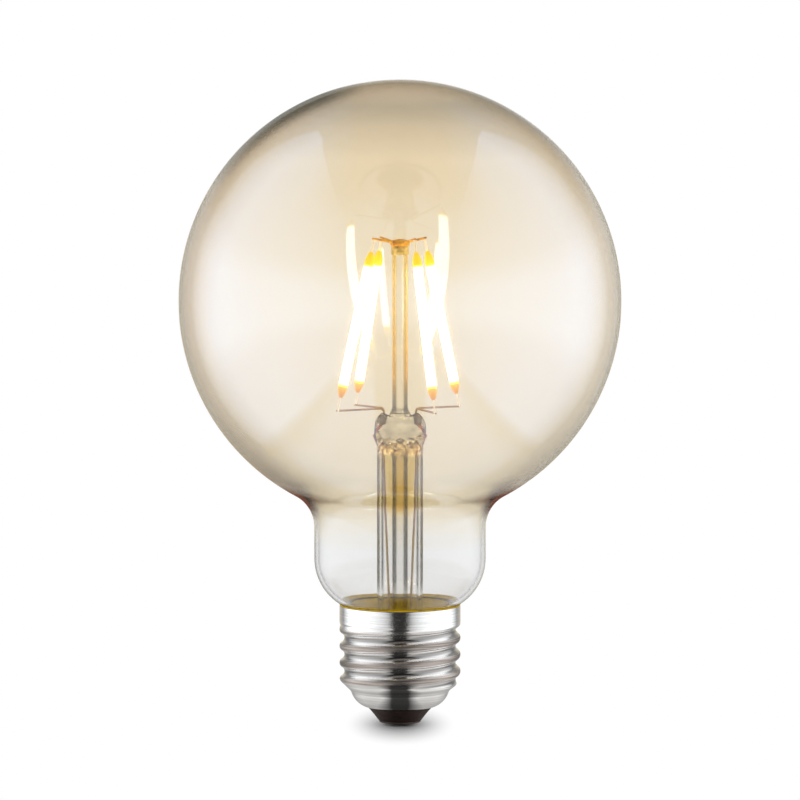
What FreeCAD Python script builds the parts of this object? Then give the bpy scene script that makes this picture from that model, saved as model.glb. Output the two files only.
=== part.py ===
import FreeCAD, Part
import math
import os
import Sketcher

# Driving sizes of a clear globe bulb with upright light strips, in millimetres and degrees.
# Heights are measured upwards from the tip of the centre contact.
SIZES = {
    "globe_diameter": "95.0",
    "glass_wall": "0.8",
    "shoulder_radius": "8.0",
    "neck_diameter": "36.9",
    "neck_curve_radius": "11.5",
    "neck_length": "6.71",
    "seal_depth": "8.5",
    "cap_diameter": "26.1",
    "cap_sheet": "0.3",
    "skirt_height": "3.6",
    "thread_pitch": "3.629",
    "thread_depth": "1.05",
    "bowl_height": "3.5",
    "thread_length": "14.1",
    "thread_crest_rise": "7.0",
    "thread_run_in": "2.6",
    "thread_run_out": "1.8",
    "lip_ring_diameter": "18.0",
    "lip_ring_rise": "0.9",
    "lip_diameter": "14.0",
    "insulator_cone_height": "2.9",
    "insulator_foot_diameter": "9.4",
    "insulator_flange_diameter": "16.4",
    "insulator_flange_rise": "2.1",
    "insulator_hole_diameter": "1.8",
    "contact_diameter": "9.0",
    "contact_height": "0.9",
    "contact_plate": "0.4",
    "contact_tip_diameter": "3.8",
    "contact_flat_diameter": "2.4",
    "stem_diameter": "9.9",
    "stem_wall": "0.9",
    "stem_length": "42.2",
    "press_width": "11.1",
    "press_depth": "6.0",
    "press_height": "7.2",
    "press_floor": "0.9",
    "press_swell": "2.2",
    "press_shoulder": "1.4",
    "exhaust_diameter": "3.35",
    "exhaust_wall": "0.7",
    "exhaust_seat_depth": "3.0",
    "exhaust_tip_gap": "1.5",
    "blow_hole_diameter": "1.8",
    "rod_diameter": "3.3",
    "rod_foot_diameter": "5.0",
    "rod_foot_land": "0.25",
    "rod_flare_height": "1.6",
    "strip_diameter": "2.0",
    "strip_tip_diameter": "0.9",
    "strip_taper": "2.2",
    "strip_length": "31.9",
    "strip_tilt": "13.0",
    "strip_foot_radius": "13.8",
    "strip_1_turn": "27.5",
    "strip_2_turn": "132.0",
    "strip_3_turn": "203.0",
    "strip_4_turn": "301.0",
    "pin_diameter": "0.5",
    "pin_length": "2.5",
    "hub_diameter": "4.3",
    "hub_thickness": "1.2",
    "hub_dome": "0.3",
    "collar_diameter": "3.9",
    "collar_length": "1.9",
    "anchor_seat_radius": "0.9",
    "anchor_rise": "1.0",
    "wire_diameter": "0.5",
    "wire_overshoot": "0.5",
    "arm_bend_radius": "0.9",
    "arm_rise": "1.5",
    "lead_spread": "3.5",
    "lead_pair_spacing": "0.64",
    "lead_inner_spread": "2.4",
    "lead_bend_radius": "12.0",
    "lead_straight_length": "14.0",
    "lead_top_length": "3.0",
    "sleeve_diameter": "1.7",
    "sleeve_length": "2.2",
    "sleeve_floor": "0.5",
    "sleeve_proud": "0.3",
    "board_diameter": "19.0",
    "board_thickness": "1.0",
    "capacitor_gap": "0.7",
    "resistor_diameter": "2.4",
    "resistor_length": "5.0",
    "resistor_wire_diameter": "0.6",
    "resistor_round": "0.6",
    "capacitor_diameter": "5.0",
    "capacitor_length": "5.6",
    "capacitor_round": "0.4",
    "component_radius": "5.2",
    "rectifier_length": "4.8",
    "rectifier_width": "3.9",
    "rectifier_height": "1.5",
    "chip_length": "4.9",
    "chip_width": "3.9",
    "chip_height": "1.4",
    "shell_lead_radius": "8.6",
    "shell_lead_rise": "1.6",
    "fit_gap": "0.02",
    "weld_gap": "0.1",
    "neck_clearance": "0.1",
    "rim_gap": "0.17",
    "lead_end_gap": "0.1",
}

# Sections of the rolled cap wall around the axis, and heights sampled along each thread pitch.
CAP_SECTIONS = 24
SAMPLES_PER_PITCH = 8

# Repeats that settle the control points of a surface that closes on itself.
ROUND_SWEEPS = 30

FILAMENTS = (1, 2, 3, 4)

doc = FreeCAD.newDocument("globe_bulb")
sheet = doc.addObject("Spreadsheet::Sheet", "Sizes")
for row, (alias, number) in enumerate(SIZES.items(), start=1):
    sheet.set(f"A{row}", alias)
    sheet.set(f"B{row}", number)
    sheet.setAlias(f"B{row}", alias)
doc.recompute()


def value(expression):
    """The number that an expression over the sheet has now."""
    result = sheet.evalExpression(expression)
    return getattr(result, "Value", result)


# Cap: its heights, from the lip on the insulator up to the rim.
LIP_HEIGHT = "(Sizes.contact_height + Sizes.insulator_cone_height)"
RING_HEIGHT = f"({LIP_HEIGHT} + Sizes.lip_ring_rise)"
INSULATOR_TOP = f"({LIP_HEIGHT} + Sizes.insulator_flange_rise)"
THREAD_FOOT = f"({RING_HEIGHT} + Sizes.bowl_height)"
THREAD_CREST = f"({THREAD_FOOT} + Sizes.thread_crest_rise)"
THREAD_TOP = f"({THREAD_FOOT} + Sizes.thread_length)"
CAP_RIM = f"({THREAD_TOP} + Sizes.skirt_height)"
SEAL_FOOT = f"({CAP_RIM} - Sizes.seal_depth)"

# Cap: the shell's crest, root and bore, and the glass neck that seats in it.
CREST = "(Sizes.cap_diameter / 2)"
ROOT = f"({CREST} - Sizes.thread_depth)"
SKIRT_BORE = f"({CREST} - Sizes.cap_sheet)"
SHELL_BORE = f"({ROOT} - Sizes.cap_sheet)"
SKIRT_SEAT = f"({THREAD_TOP} + {SKIRT_BORE} - {SHELL_BORE})"
LIP_BORE = "(Sizes.lip_diameter / 2 - Sizes.cap_sheet)"
LIP_SEAT = f"({LIP_HEIGHT} + Sizes.cap_sheet)"
RING_BORE = "(Sizes.lip_ring_diameter / 2 - Sizes.cap_sheet)"
RING_SEAT = f"({RING_HEIGHT} + Sizes.cap_sheet)"
SEAL_NECK = f"({SHELL_BORE} - Sizes.neck_clearance)"
SEAL_BORE = f"({SEAL_NECK} - Sizes.glass_wall)"

# Envelope: the centres of its arcs.
GLOBE = "(Sizes.globe_diameter / 2)"
NECK = "(Sizes.neck_diameter / 2)"
CURVE_CENTRE = f"({NECK} - Sizes.neck_curve_radius)"
SHOULDER_CENTRE = f"({NECK} + Sizes.shoulder_radius)"
SHOULDER_REACH = f"({GLOBE} + Sizes.shoulder_radius)"
SHOULDER_DROP = f"sqrt({SHOULDER_REACH}^2 - {SHOULDER_CENTRE}^2)"


def curve_drop(radius, offset="0"):
    """How far the neck's lower curve, moved out by offset, lies below its centre at a radius."""
    return f"sqrt((Sizes.neck_curve_radius + {offset})^2 - ({radius} - {CURVE_CENTRE})^2)"


# Envelope: its heights, from the cap's rim up to the top of the globe.
NECK_FOOT = f"({CAP_RIM} + Sizes.rim_gap + {curve_drop(SKIRT_BORE)})"
SHOULDER_HEIGHT = f"({NECK_FOOT} + Sizes.neck_length)"
GLOBE_CENTRE = f"({SHOULDER_HEIGHT} + {SHOULDER_DROP})"
GLOBE_TOP = f"({GLOBE_CENTRE} + {GLOBE})"

# Stem: its flare, its bore and the pressed head that holds the leads.
STEM = "(Sizes.stem_diameter / 2)"
STEM_BORE = f"({STEM} - Sizes.stem_wall)"
FLARE_LIP = f"({SEAL_BORE} - Sizes.fit_gap)"
FLARE_TOP = f"({SEAL_FOOT} + Sizes.stem_wall + {FLARE_LIP} - {STEM})"
STEM_TOP = f"({SEAL_FOOT} + Sizes.stem_length)"
PRESS_TOP = f"({STEM_TOP} + Sizes.press_height)"
BORE_TOP = f"({STEM_TOP} - Sizes.press_floor)"
EXHAUST_TOP = f"({STEM_TOP} + Sizes.exhaust_seat_depth)"
SLEEVE_BASE = f"({PRESS_TOP} + Sizes.sleeve_proud - Sizes.sleeve_length)"
ARM_BASE = f"({SLEEVE_BASE} + Sizes.sleeve_floor)"
WIRE = "(Sizes.wire_diameter / 2)"
EXHAUST = "(Sizes.exhaust_diameter / 2)"
ROD = "(Sizes.rod_diameter / 2)"

# Light strips: the arms that carry them, and where their pins end, below and above.
ARM_HEIGHT = f"({PRESS_TOP} + Sizes.arm_rise)"
FOOT_PIN_RADIUS = "(Sizes.strip_foot_radius + Sizes.pin_length * sin(Sizes.strip_tilt))"
FOOT_PIN_HEIGHT = f"({ARM_HEIGHT} + {WIRE} + Sizes.weld_gap)"
FOOT_HEIGHT = f"({FOOT_PIN_HEIGHT} + Sizes.pin_length * cos(Sizes.strip_tilt))"
TOP_RADIUS = "(Sizes.strip_foot_radius - Sizes.strip_length * sin(Sizes.strip_tilt))"
TOP_HEIGHT = f"({FOOT_HEIGHT} + Sizes.strip_length * cos(Sizes.strip_tilt))"
TOP_PIN_RADIUS = f"({TOP_RADIUS} - Sizes.pin_length * sin(Sizes.strip_tilt))"
TOP_PIN_HEIGHT = f"({TOP_HEIGHT} + Sizes.pin_length * cos(Sizes.strip_tilt))"
ANCHOR_END_HEIGHT = f"({TOP_PIN_HEIGHT} + {WIRE} + Sizes.weld_gap)"
ANCHOR_RUN = f"({TOP_PIN_RADIUS} - Sizes.anchor_seat_radius)"
HUB_SEAT = f"({ANCHOR_END_HEIGHT} - Sizes.anchor_rise)"
HUB_FLOOR = f"({HUB_SEAT} - Sizes.hub_thickness / 2)"
COLLAR_BASE = f"({HUB_FLOOR} - Sizes.collar_length)"

# Driver board, held clear of the insulator by the tallest component under it.
BOARD_BASE = f"({INSULATOR_TOP} + Sizes.capacitor_gap + Sizes.capacitor_length)"
BOARD_TOP = f"({BOARD_BASE} + Sizes.board_thickness)"


def place(piece, x="0", y="0", z="0", yaw="0", pitch="0"):
    """Tie a piece's place to the sheet: its base point, then its turn about Z and its lean about Y."""
    spot = f"create(<<vector>>; {x}; {y}; {z})"
    turn = f"create(<<rotation>>; {yaw}; {pitch}; 0)"
    piece.setExpression("Placement", f"create(<<placement>>; {spot}; {turn})")
    return piece


def add_sketch(body, plane, name):
    """An empty sketch on one of a body's own origin planes."""
    sketch = body.newObject("Sketcher::SketchObject", name)
    support = [item for item in body.Origin.OriginFeatures if item.Role == plane][0]
    sketch.AttachmentSupport = (support, [""])
    sketch.MapMode = "FlatFace"
    return sketch


def pin_point(sketch, edge, end, x, y):
    """Hold a point of a sketch at two expressions, or on an axis where one of them is 0."""
    for kind, axis, expression in (("DistanceX", -2, x), ("DistanceY", -1, y)):
        if expression == "0":
            sketch.addConstraint(Sketcher.Constraint("PointOnObject", edge, end, axis))
        else:
            rule = Sketcher.Constraint(kind, -1, 1, edge, end, value(expression))
            number = sketch.addConstraint(rule)
            sketch.setExpression(f"Constraints[{number}]", expression)


def pin_radius(sketch, edge, expression):
    """Hold an arc's or circle's radius at an expression."""
    number = sketch.addConstraint(Sketcher.Constraint("Radius", edge, value(expression)))
    sketch.setExpression(f"Constraints[{number}]", expression)


def arc_about(centre, start, end, turning):
    """An arc from start to end, and which of its ends start and end are in a sketch."""
    first, last = (start, end) if turning == "left" else (end, start)
    angles = [math.atan2(point.y - centre.y, point.x - centre.x) for point in (first, last)]
    if angles[1] < angles[0]:
        angles[1] += 2 * math.pi
    circle = Part.Circle(centre, FreeCAD.Vector(0, 0, 1), (start - centre).Length)
    ends = (1, 2) if turning == "left" else (2, 1)
    return Part.ArcOfCircle(circle, angles[0], angles[1]), ends


def arc_through(start, end, radius, turning):
    """The shorter arc of a radius from start to end that bends left or right on its way."""
    middle = (start + end) / 2
    along = end - start
    side = FreeCAD.Vector(-along.y, along.x, 0).normalize()
    reach = math.sqrt(radius**2 - (along.Length / 2)**2)
    centre = middle + side * (reach if turning == "left" else -reach)
    return arc_about(centre, start, end, turning)


def draw_outline(sketch, outline):
    """Draw a closed outline of corners. A corner with a radius and a side starts an arc, not a line."""
    corners = [FreeCAD.Vector(value(x), value(y), 0) for x, y, *bend in outline]
    ends = []
    for number, (x, y, *bend) in enumerate(outline):
        start = corners[number]
        end = corners[(number + 1) % len(corners)]
        if bend:
            edge, order = arc_through(start, end, value(bend[0]), bend[1])
        else:
            edge, order = Part.LineSegment(start, end), (1, 2)
        sketch.addGeometry(edge, False)
        ends.append(order)
    for number, (x, y, *bend) in enumerate(outline):
        following = (number + 1) % len(outline)
        join = Sketcher.Constraint("Coincident", number, ends[number][1], following, ends[following][0])
        sketch.addConstraint(join)
    for number, (x, y, *bend) in enumerate(outline):
        pin_point(sketch, number, ends[number][0], x, y)
        if bend:
            pin_radius(sketch, number, bend[0])


def turned(label, outline):
    """A piece of revolution: its outline, in radius and height, spun about the Z axis."""
    body = doc.addObject("PartDesign::Body", label)
    sketch = add_sketch(body, "XZ_Plane", f"{label}_outline")
    draw_outline(sketch, outline)
    spin = body.newObject("PartDesign::Revolution", f"{label}_turning")
    spin.Profile = sketch
    spin.ReferenceAxis = (sketch, ["V_Axis"])
    spin.Angle = 360
    return body


def draw_route(sketch, corners, bend):
    """Draw straight runs between corners, with each inner corner rounded. Returns the edges' names."""
    points = [FreeCAD.Vector(value(x), value(y), 0) for x, y in corners]
    radius = value(bend)
    start = points[0]
    turns = []
    for before, corner, after in zip(points, points[1:], points[2:]):
        back = (before - corner).normalize()
        ahead = (after - corner).normalize()
        half = back.getAngle(ahead) / 2
        cut = radius / math.tan(half)
        centre = corner + (back + ahead).normalize() * (radius / math.sin(half))
        turning = "left" if back.cross(ahead).z < 0 else "right"
        line = sketch.addGeometry(Part.LineSegment(start, corner + back * cut), False)
        arc, order = arc_about(centre, corner + back * cut, corner + ahead * cut, turning)
        turns.append((line, sketch.addGeometry(arc, False), order))
        start = corner + ahead * cut
    last = sketch.addGeometry(Part.LineSegment(start, points[-1]), False)
    sketch.addConstraint(Sketcher.Constraint("Coincident", 0, 1, -1, 1))
    for (line, arc, order), (x, y), corner in zip(turns, corners[1:], points[1:]):
        mark = sketch.addGeometry(Part.Point(corner), True)
        sketch.addConstraint(Sketcher.Constraint("Tangent", line, 2, arc, order[0]))
        sketch.addConstraint(Sketcher.Constraint("Tangent", arc, order[1], arc + 1, 1))
        sketch.addConstraint(Sketcher.Constraint("PointOnObject", mark, 1, line))
        sketch.addConstraint(Sketcher.Constraint("PointOnObject", mark, 1, arc + 1))
        pin_point(sketch, mark, 1, x, y)
        pin_radius(sketch, arc, bend)
    pin_point(sketch, last, 2, *corners[-1])
    return [f"Edge{number + 1}" for number in range(last + 1)]


def bent_wire(label, corners, bend):
    """A round wire that starts upright at its own origin and follows corners in its XZ plane."""
    body = doc.addObject("PartDesign::Body", label)
    section = add_sketch(body, "XY_Plane", f"{label}_section")
    circle = Part.Circle(FreeCAD.Vector(), FreeCAD.Vector(0, 0, 1), value(WIRE))
    section.addGeometry(circle, False)
    section.addConstraint(Sketcher.Constraint("Coincident", 0, 3, -1, 1))
    pin_radius(section, 0, WIRE)
    route = add_sketch(body, "XZ_Plane", f"{label}_route")
    edges = draw_route(route, corners, bend)
    doc.recompute()
    pipe = body.newObject("PartDesign::AdditivePipe", f"{label}_pipe")
    pipe.Profile = section
    pipe.Spine = (route, edges)
    return body


def rod(label, radius, length):
    """A straight round rod along its own Z axis."""
    piece = doc.addObject("Part::Cylinder", label)
    piece.setExpression("Radius", radius)
    piece.setExpression("Height", length)
    return piece


def block(label, length, width, height):
    """A moulded rectangular component."""
    piece = doc.addObject("Part::Box", label)
    piece.setExpression("Length", length)
    piece.setExpression("Width", width)
    piece.setExpression("Height", height)
    return piece


def ellipse(label, width, depth, height):
    """A level ellipse at a height, given by its half width along X and its half depth along Y."""
    curve = doc.addObject("Part::Ellipse", label)
    curve.setExpression("MajorRadius", width)
    curve.setExpression("MinorRadius", depth)
    return place(curve, z=height)


def gather(label, tools):
    """Several cutting shapes as one."""
    group = doc.addObject("Part::MultiFuse", label)
    group.Shapes = tools
    return group


def cut(label, base, tool):
    """A piece with another shape taken out of it."""
    piece = doc.addObject("Part::Cut", label)
    piece.Base = base
    piece.Tool = tool
    return piece


def glass_envelope():
    """The blown globe with its shoulder, neck and the narrow seal neck that stands in the cap."""
    inner_globe = f"({GLOBE} - Sizes.glass_wall)"
    lean = f"{SHOULDER_CENTRE} / {SHOULDER_REACH}"
    fall = f"{SHOULDER_DROP} / {SHOULDER_REACH}"
    inner_curve = "(Sizes.neck_curve_radius - Sizes.glass_wall)"
    inner_neck = f"({NECK} - Sizes.glass_wall)"
    return turned("glass_envelope", [
        (SEAL_NECK, SEAL_FOOT),
        (SEAL_NECK, f"{NECK_FOOT} - {curve_drop(SEAL_NECK)}", "Sizes.neck_curve_radius", "left"),
        (NECK, NECK_FOOT),
        (NECK, SHOULDER_HEIGHT, "Sizes.shoulder_radius", "right"),
        (f"{GLOBE} * {lean}", f"{GLOBE_CENTRE} - {GLOBE} * {fall}", GLOBE, "left"),
        ("0", GLOBE_TOP),
        ("0", f"{GLOBE_TOP} - Sizes.glass_wall", inner_globe, "right"),
        (f"{inner_globe} * {lean}", f"{GLOBE_CENTRE} - {inner_globe} * {fall}",
         "Sizes.shoulder_radius + Sizes.glass_wall", "left"),
        (inner_neck, SHOULDER_HEIGHT),
        (inner_neck, NECK_FOOT, inner_curve, "right"),
        (SEAL_BORE, f"{NECK_FOOT} - {curve_drop(SEAL_BORE, '(0 - Sizes.glass_wall)')}"),
        (SEAL_BORE, SEAL_FOOT),
    ])


def stem_flare():
    """The glass stem: a flared tube, its pressed head, and the passages of leads and exhaust tube."""
    flare = f"({FLARE_LIP} - {STEM})"
    tube = turned("stem_tube", [
        (FLARE_LIP, SEAL_FOOT),
        (FLARE_LIP, f"{SEAL_FOOT} + Sizes.stem_wall", flare, "right"),
        (STEM, FLARE_TOP),
        (STEM, STEM_TOP),
        ("0", STEM_TOP),
        ("0", BORE_TOP),
        (STEM_BORE, BORE_TOP),
        (STEM_BORE, FLARE_TOP, f"{flare} + Sizes.stem_wall", "left"),
    ])
    half_width = "(Sizes.press_width / 2)"
    half_depth = "(Sizes.press_depth / 2)"
    swell = f"({STEM_TOP} + Sizes.press_swell)"
    shoulder = f"({PRESS_TOP} - Sizes.press_shoulder)"
    head = doc.addObject("Part::Loft", "stem_head")
    head.Sections = [
        ellipse("stem_head_base", STEM, STEM, STEM_TOP),
        ellipse("stem_head_swell", half_width, half_depth, swell),
        ellipse("stem_head_shoulder", half_width, half_depth, shoulder),
        ellipse("stem_head_top", f"{half_width} - Sizes.press_shoulder",
                f"{half_depth} - Sizes.press_shoulder / 3", PRESS_TOP),
    ]
    head.Solid = True
    whole = doc.addObject("Part::Fuse", "stem_whole")
    whole.Base = tube
    whole.Tool = head
    pocket = rod("exhaust_pocket", f"{EXHAUST} + Sizes.fit_gap", f"{EXHAUST_TOP} - {BORE_TOP}")
    blow_hole = rod("blow_hole", "Sizes.blow_hole_diameter / 2", "Sizes.press_depth")
    blow_height = f"{EXHAUST_TOP} - Sizes.blow_hole_diameter"
    cutters = [
        place(pocket, z=BORE_TOP),
        place(blow_hole, z=blow_height, yaw="270", pitch="90"),
    ]
    for side, x in lead_sides():
        hole = rod(f"seal_hole_{side}", f"{WIRE} + Sizes.fit_gap", f"{SLEEVE_BASE} - {BORE_TOP}")
        socket_radius = "Sizes.sleeve_diameter / 2 + Sizes.fit_gap"
        socket = rod(f"sleeve_socket_{side}", socket_radius, "Sizes.sleeve_length")
        cutters += [place(hole, x=x, z=BORE_TOP), place(socket, x=x, z=SLEEVE_BASE)]
    return cut("stem_flare", whole, gather("stem_passages", cutters))


def lead_sides():
    """The two sides of the stem, with the X place of the leads on each."""
    return (("left", "(0 - Sizes.lead_spread)"), ("right", "Sizes.lead_spread"))


def exhaust_tube():
    """The pumping tube in the stem, closed by a round tip above the driver board."""
    bore = f"({EXHAUST} - Sizes.exhaust_wall)"
    tip = f"({BOARD_TOP} + Sizes.exhaust_tip_gap)"
    return turned("exhaust_tube", [
        ("0", tip, EXHAUST, "left"),
        (EXHAUST, f"{tip} + {EXHAUST}"),
        (EXHAUST, EXHAUST_TOP),
        (bore, EXHAUST_TOP),
        (bore, f"{tip} + {EXHAUST}", bore, "right"),
        ("0", f"{tip} + {EXHAUST} - {bore}"),
    ])


def support_rod():
    """The glass rod on the pressed head, with a flared foot and a plain top that the hub sits on."""
    foot = "(Sizes.rod_foot_diameter / 2)"
    land = f"({PRESS_TOP} + Sizes.rod_foot_land)"
    spread = f"({foot} - {ROD})"
    flare = f"({spread}^2 + Sizes.rod_flare_height^2) / (2 * {spread})"
    top = f"({HUB_FLOOR} - Sizes.fit_gap)"
    return turned("support_rod", [
        ("0", PRESS_TOP),
        (foot, PRESS_TOP),
        (foot, land, flare, "right"),
        (ROD, f"{land} + Sizes.rod_flare_height"),
        (ROD, top),
        ("0", top),
    ])


def top_hub():
    """The metal collar and domed disc on the rod, with a socket for each anchor."""
    hub = "(Sizes.hub_diameter / 2)"
    collar = "(Sizes.collar_diameter / 2)"
    bore = f"({ROD} + Sizes.fit_gap)"
    rim = f"({HUB_FLOOR} + Sizes.hub_thickness)"
    dome = f"({hub}^2 + Sizes.hub_dome^2) / (2 * Sizes.hub_dome)"
    blank = turned("top_hub_blank", [
        (bore, COLLAR_BASE),
        (collar, COLLAR_BASE),
        (collar, HUB_FLOOR),
        (hub, HUB_FLOOR),
        (hub, rim, dome, "left"),
        ("0", f"{rim} + Sizes.hub_dome"),
        ("0", HUB_FLOOR),
        (bore, HUB_FLOOR),
    ])
    sockets = [anchor(f"anchor_socket_{number}", number, f"{WIRE} + Sizes.fit_gap") for number in FILAMENTS]
    return cut("top_hub", blank, gather("anchor_sockets", sockets))


def strip_turn(number):
    """The angle about the axis at which a light strip stands."""
    return f"Sizes.strip_{number}_turn"


def around(radius, number):
    """The X and Y of a point at a radius in the upright plane of a light strip."""
    return f"{radius} * cos({strip_turn(number)})", f"{radius} * sin({strip_turn(number)})"


def anchor(label, number, radius):
    """A straight wire from the hub up and out to the top pin of a light strip, or its socket."""
    piece = rod(label, radius, f"hypot({ANCHOR_RUN}; Sizes.anchor_rise) + Sizes.wire_overshoot")
    x, y = around("Sizes.anchor_seat_radius", number)
    lean = f"90 deg - atan2(Sizes.anchor_rise; {ANCHOR_RUN})"
    return place(piece, x, y, HUB_SEAT, strip_turn(number), lean)


def light_strip(number):
    """A coated light strip, round in section and tapered to its pins, leaning in towards its top."""
    radius = "(Sizes.strip_diameter / 2)"
    tip = "(Sizes.strip_tip_diameter / 2)"
    narrowing = f"({radius} - {tip})"
    taper = f"({narrowing}^2 + Sizes.strip_taper^2) / (2 * {narrowing})"
    strip = turned(f"filament_{number}", [
        ("0", "0"),
        (tip, "0", taper, "left"),
        (radius, "Sizes.strip_taper"),
        (radius, "Sizes.strip_length - Sizes.strip_taper", taper, "left"),
        (tip, "Sizes.strip_length"),
        ("0", "Sizes.strip_length"),
    ])
    x, y = around("Sizes.strip_foot_radius", number)
    return place(strip, x, y, FOOT_HEIGHT, strip_turn(number), "0 - Sizes.strip_tilt")


def strip_pin(label, number, radius, height):
    """A metal pin in line with a light strip, its lower end at a radius and a height."""
    pin = rod(label, "Sizes.pin_diameter / 2", "Sizes.pin_length")
    x, y = around(radius, number)
    return place(pin, x, y, height, strip_turn(number), "0 - Sizes.strip_tilt")


def lead_arm(number):
    """A wire that rises out of a sleeve, bends over and runs out under the foot pin of a light strip."""
    right = math.cos(math.radians(value(strip_turn(number)))) > 0
    back = math.sin(math.radians(value(strip_turn(number)))) > 0
    x = "Sizes.lead_spread" if right else "(0 - Sizes.lead_spread)"
    y = "Sizes.lead_pair_spacing / 2" if back else "(0 - Sizes.lead_pair_spacing / 2)"
    end_x, end_y = around(FOOT_PIN_RADIUS, number)
    run_x = f"({end_x} - {x})"
    run_y = f"({end_y} - {y})"
    arm = bent_wire(f"lead_arm_{number}", [
        ("0", "0"),
        ("0", f"{ARM_HEIGHT} - {ARM_BASE}"),
        (f"hypot({run_x}; {run_y}) + Sizes.wire_overshoot", f"{ARM_HEIGHT} - {ARM_BASE}"),
    ], "Sizes.arm_bend_radius")
    return place(arm, x, y, ARM_BASE, f"atan2({run_y}; {run_x})")


def weld_sleeve(side, x):
    """The sleeve that clamps two arms above the seal wire, half sunk in the pressed head."""
    blank = rod(f"weld_sleeve_{side}_blank", "Sizes.sleeve_diameter / 2", "Sizes.sleeve_length")
    holes = []
    for name, y in (("front", "0 - Sizes.lead_pair_spacing / 2"), ("back", "Sizes.lead_pair_spacing / 2")):
        hole = rod(f"weld_sleeve_{side}_{name}_hole", f"{WIRE} + Sizes.fit_gap", "Sizes.sleeve_length")
        holes.append(place(hole, x, y, ARM_BASE))
    drilled = gather(f"weld_sleeve_{side}_holes", holes)
    return cut(f"weld_sleeve_{side}", place(blank, x, "0", SLEEVE_BASE), drilled)


def seal_wire(side, x):
    """The straight wire that passes the current through the pressed glass."""
    return place(rod(f"seal_wire_{side}", WIRE, f"{SLEEVE_BASE} - {BORE_TOP}"), x, "0", BORE_TOP)


def outer_lead(side):
    """The lead inside the stem, from the driver board up past the exhaust tube to a seal wire."""
    step = "(Sizes.lead_spread - Sizes.lead_inner_spread)"
    lead = bent_wire(f"outer_lead_{side}", [
        ("0", "0"),
        ("0", "Sizes.lead_straight_length"),
        (step, f"{BORE_TOP} - Sizes.lead_top_length - {BOARD_TOP}"),
        (step, f"{BORE_TOP} - {BOARD_TOP}"),
    ], "Sizes.lead_bend_radius")
    if side == "right":
        return place(lead, "Sizes.lead_inner_spread", "0", BOARD_TOP)
    return place(lead, "0 - Sizes.lead_inner_spread", "0", BOARD_TOP, "180")


def smooth_step(low, high, place_now):
    """A smooth rise from 0 at low to 1 at high."""
    share = min(1.0, max(0.0, (place_now - low) / (high - low)))
    return share * share * (3 - 2 * share)


def knuckle(turns):
    """The rounded thread's height, 1 at a crest and 0 at a root, some turns past a crest."""
    pitch = value("Sizes.thread_pitch")
    depth = value("Sizes.thread_depth")
    quarter = pitch / 4
    arc = (quarter**2 + (depth / 2)**2) / depth
    away = abs((turns + 0.5) % 1.0 - 0.5) * pitch
    if away < quarter:
        return 1 - (arc - math.sqrt(arc**2 - away**2)) / depth
    return (arc - math.sqrt(arc**2 - (2 * quarter - away)**2)) / depth


def cap_radius(height, angle):
    """The outer radius of the rolled cap at a height and an angle: bowl, thread and plain skirt."""
    ring = value("Sizes.lip_ring_diameter / 2")
    ring_height = value(RING_HEIGHT)
    foot = value(THREAD_FOOT)
    top = value(THREAD_TOP)
    if height < ring_height:
        lip = value("Sizes.lip_diameter / 2")
        lip_height = value(LIP_HEIGHT)
        return lip + (ring - lip) * (height - lip_height) / (ring_height - lip_height)
    if height < foot:
        return ring + (value(ROOT) - ring) * (height - ring_height) / (foot - ring_height)
    turns = (height - value(THREAD_CREST)) / value("Sizes.thread_pitch") - angle / 360
    rolled = knuckle(turns) * smooth_step(foot, foot + value("Sizes.thread_run_in"), height)
    skirt = smooth_step(top - value("Sizes.thread_run_out"), top, height)
    return value(ROOT) + value("Sizes.thread_depth") * (rolled + (1 - rolled) * skirt)


def evenly(low, high, steps):
    """Heights from low up to, but not at, high."""
    return [low + (high - low) * step / steps for step in range(steps)]


def closed_round(sections):
    """A surface through evenly turned section curves, smooth all the way round its axis."""
    count = len(sections)
    targets = [section.getPoles() for section in sections]
    poles = targets
    for sweep in range(ROUND_SWEEPS):
        before = [poles[-1]] + poles[:-1]
        after = poles[1:] + [poles[0]]
        poles = [
            [(aim * 6 - left - right) / 4 for aim, left, right in zip(*rows)]
            for rows in zip(targets, before, after)
        ]
    surface = Part.BSplineSurface()
    surface.buildFromPolesMultsKnots(
        poles, [1] * (count + 1), sections[0].getMultiplicities(),
        list(range(count + 1)), sections[0].getKnots(), True, False, 3, sections[0].Degree)
    return surface


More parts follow.
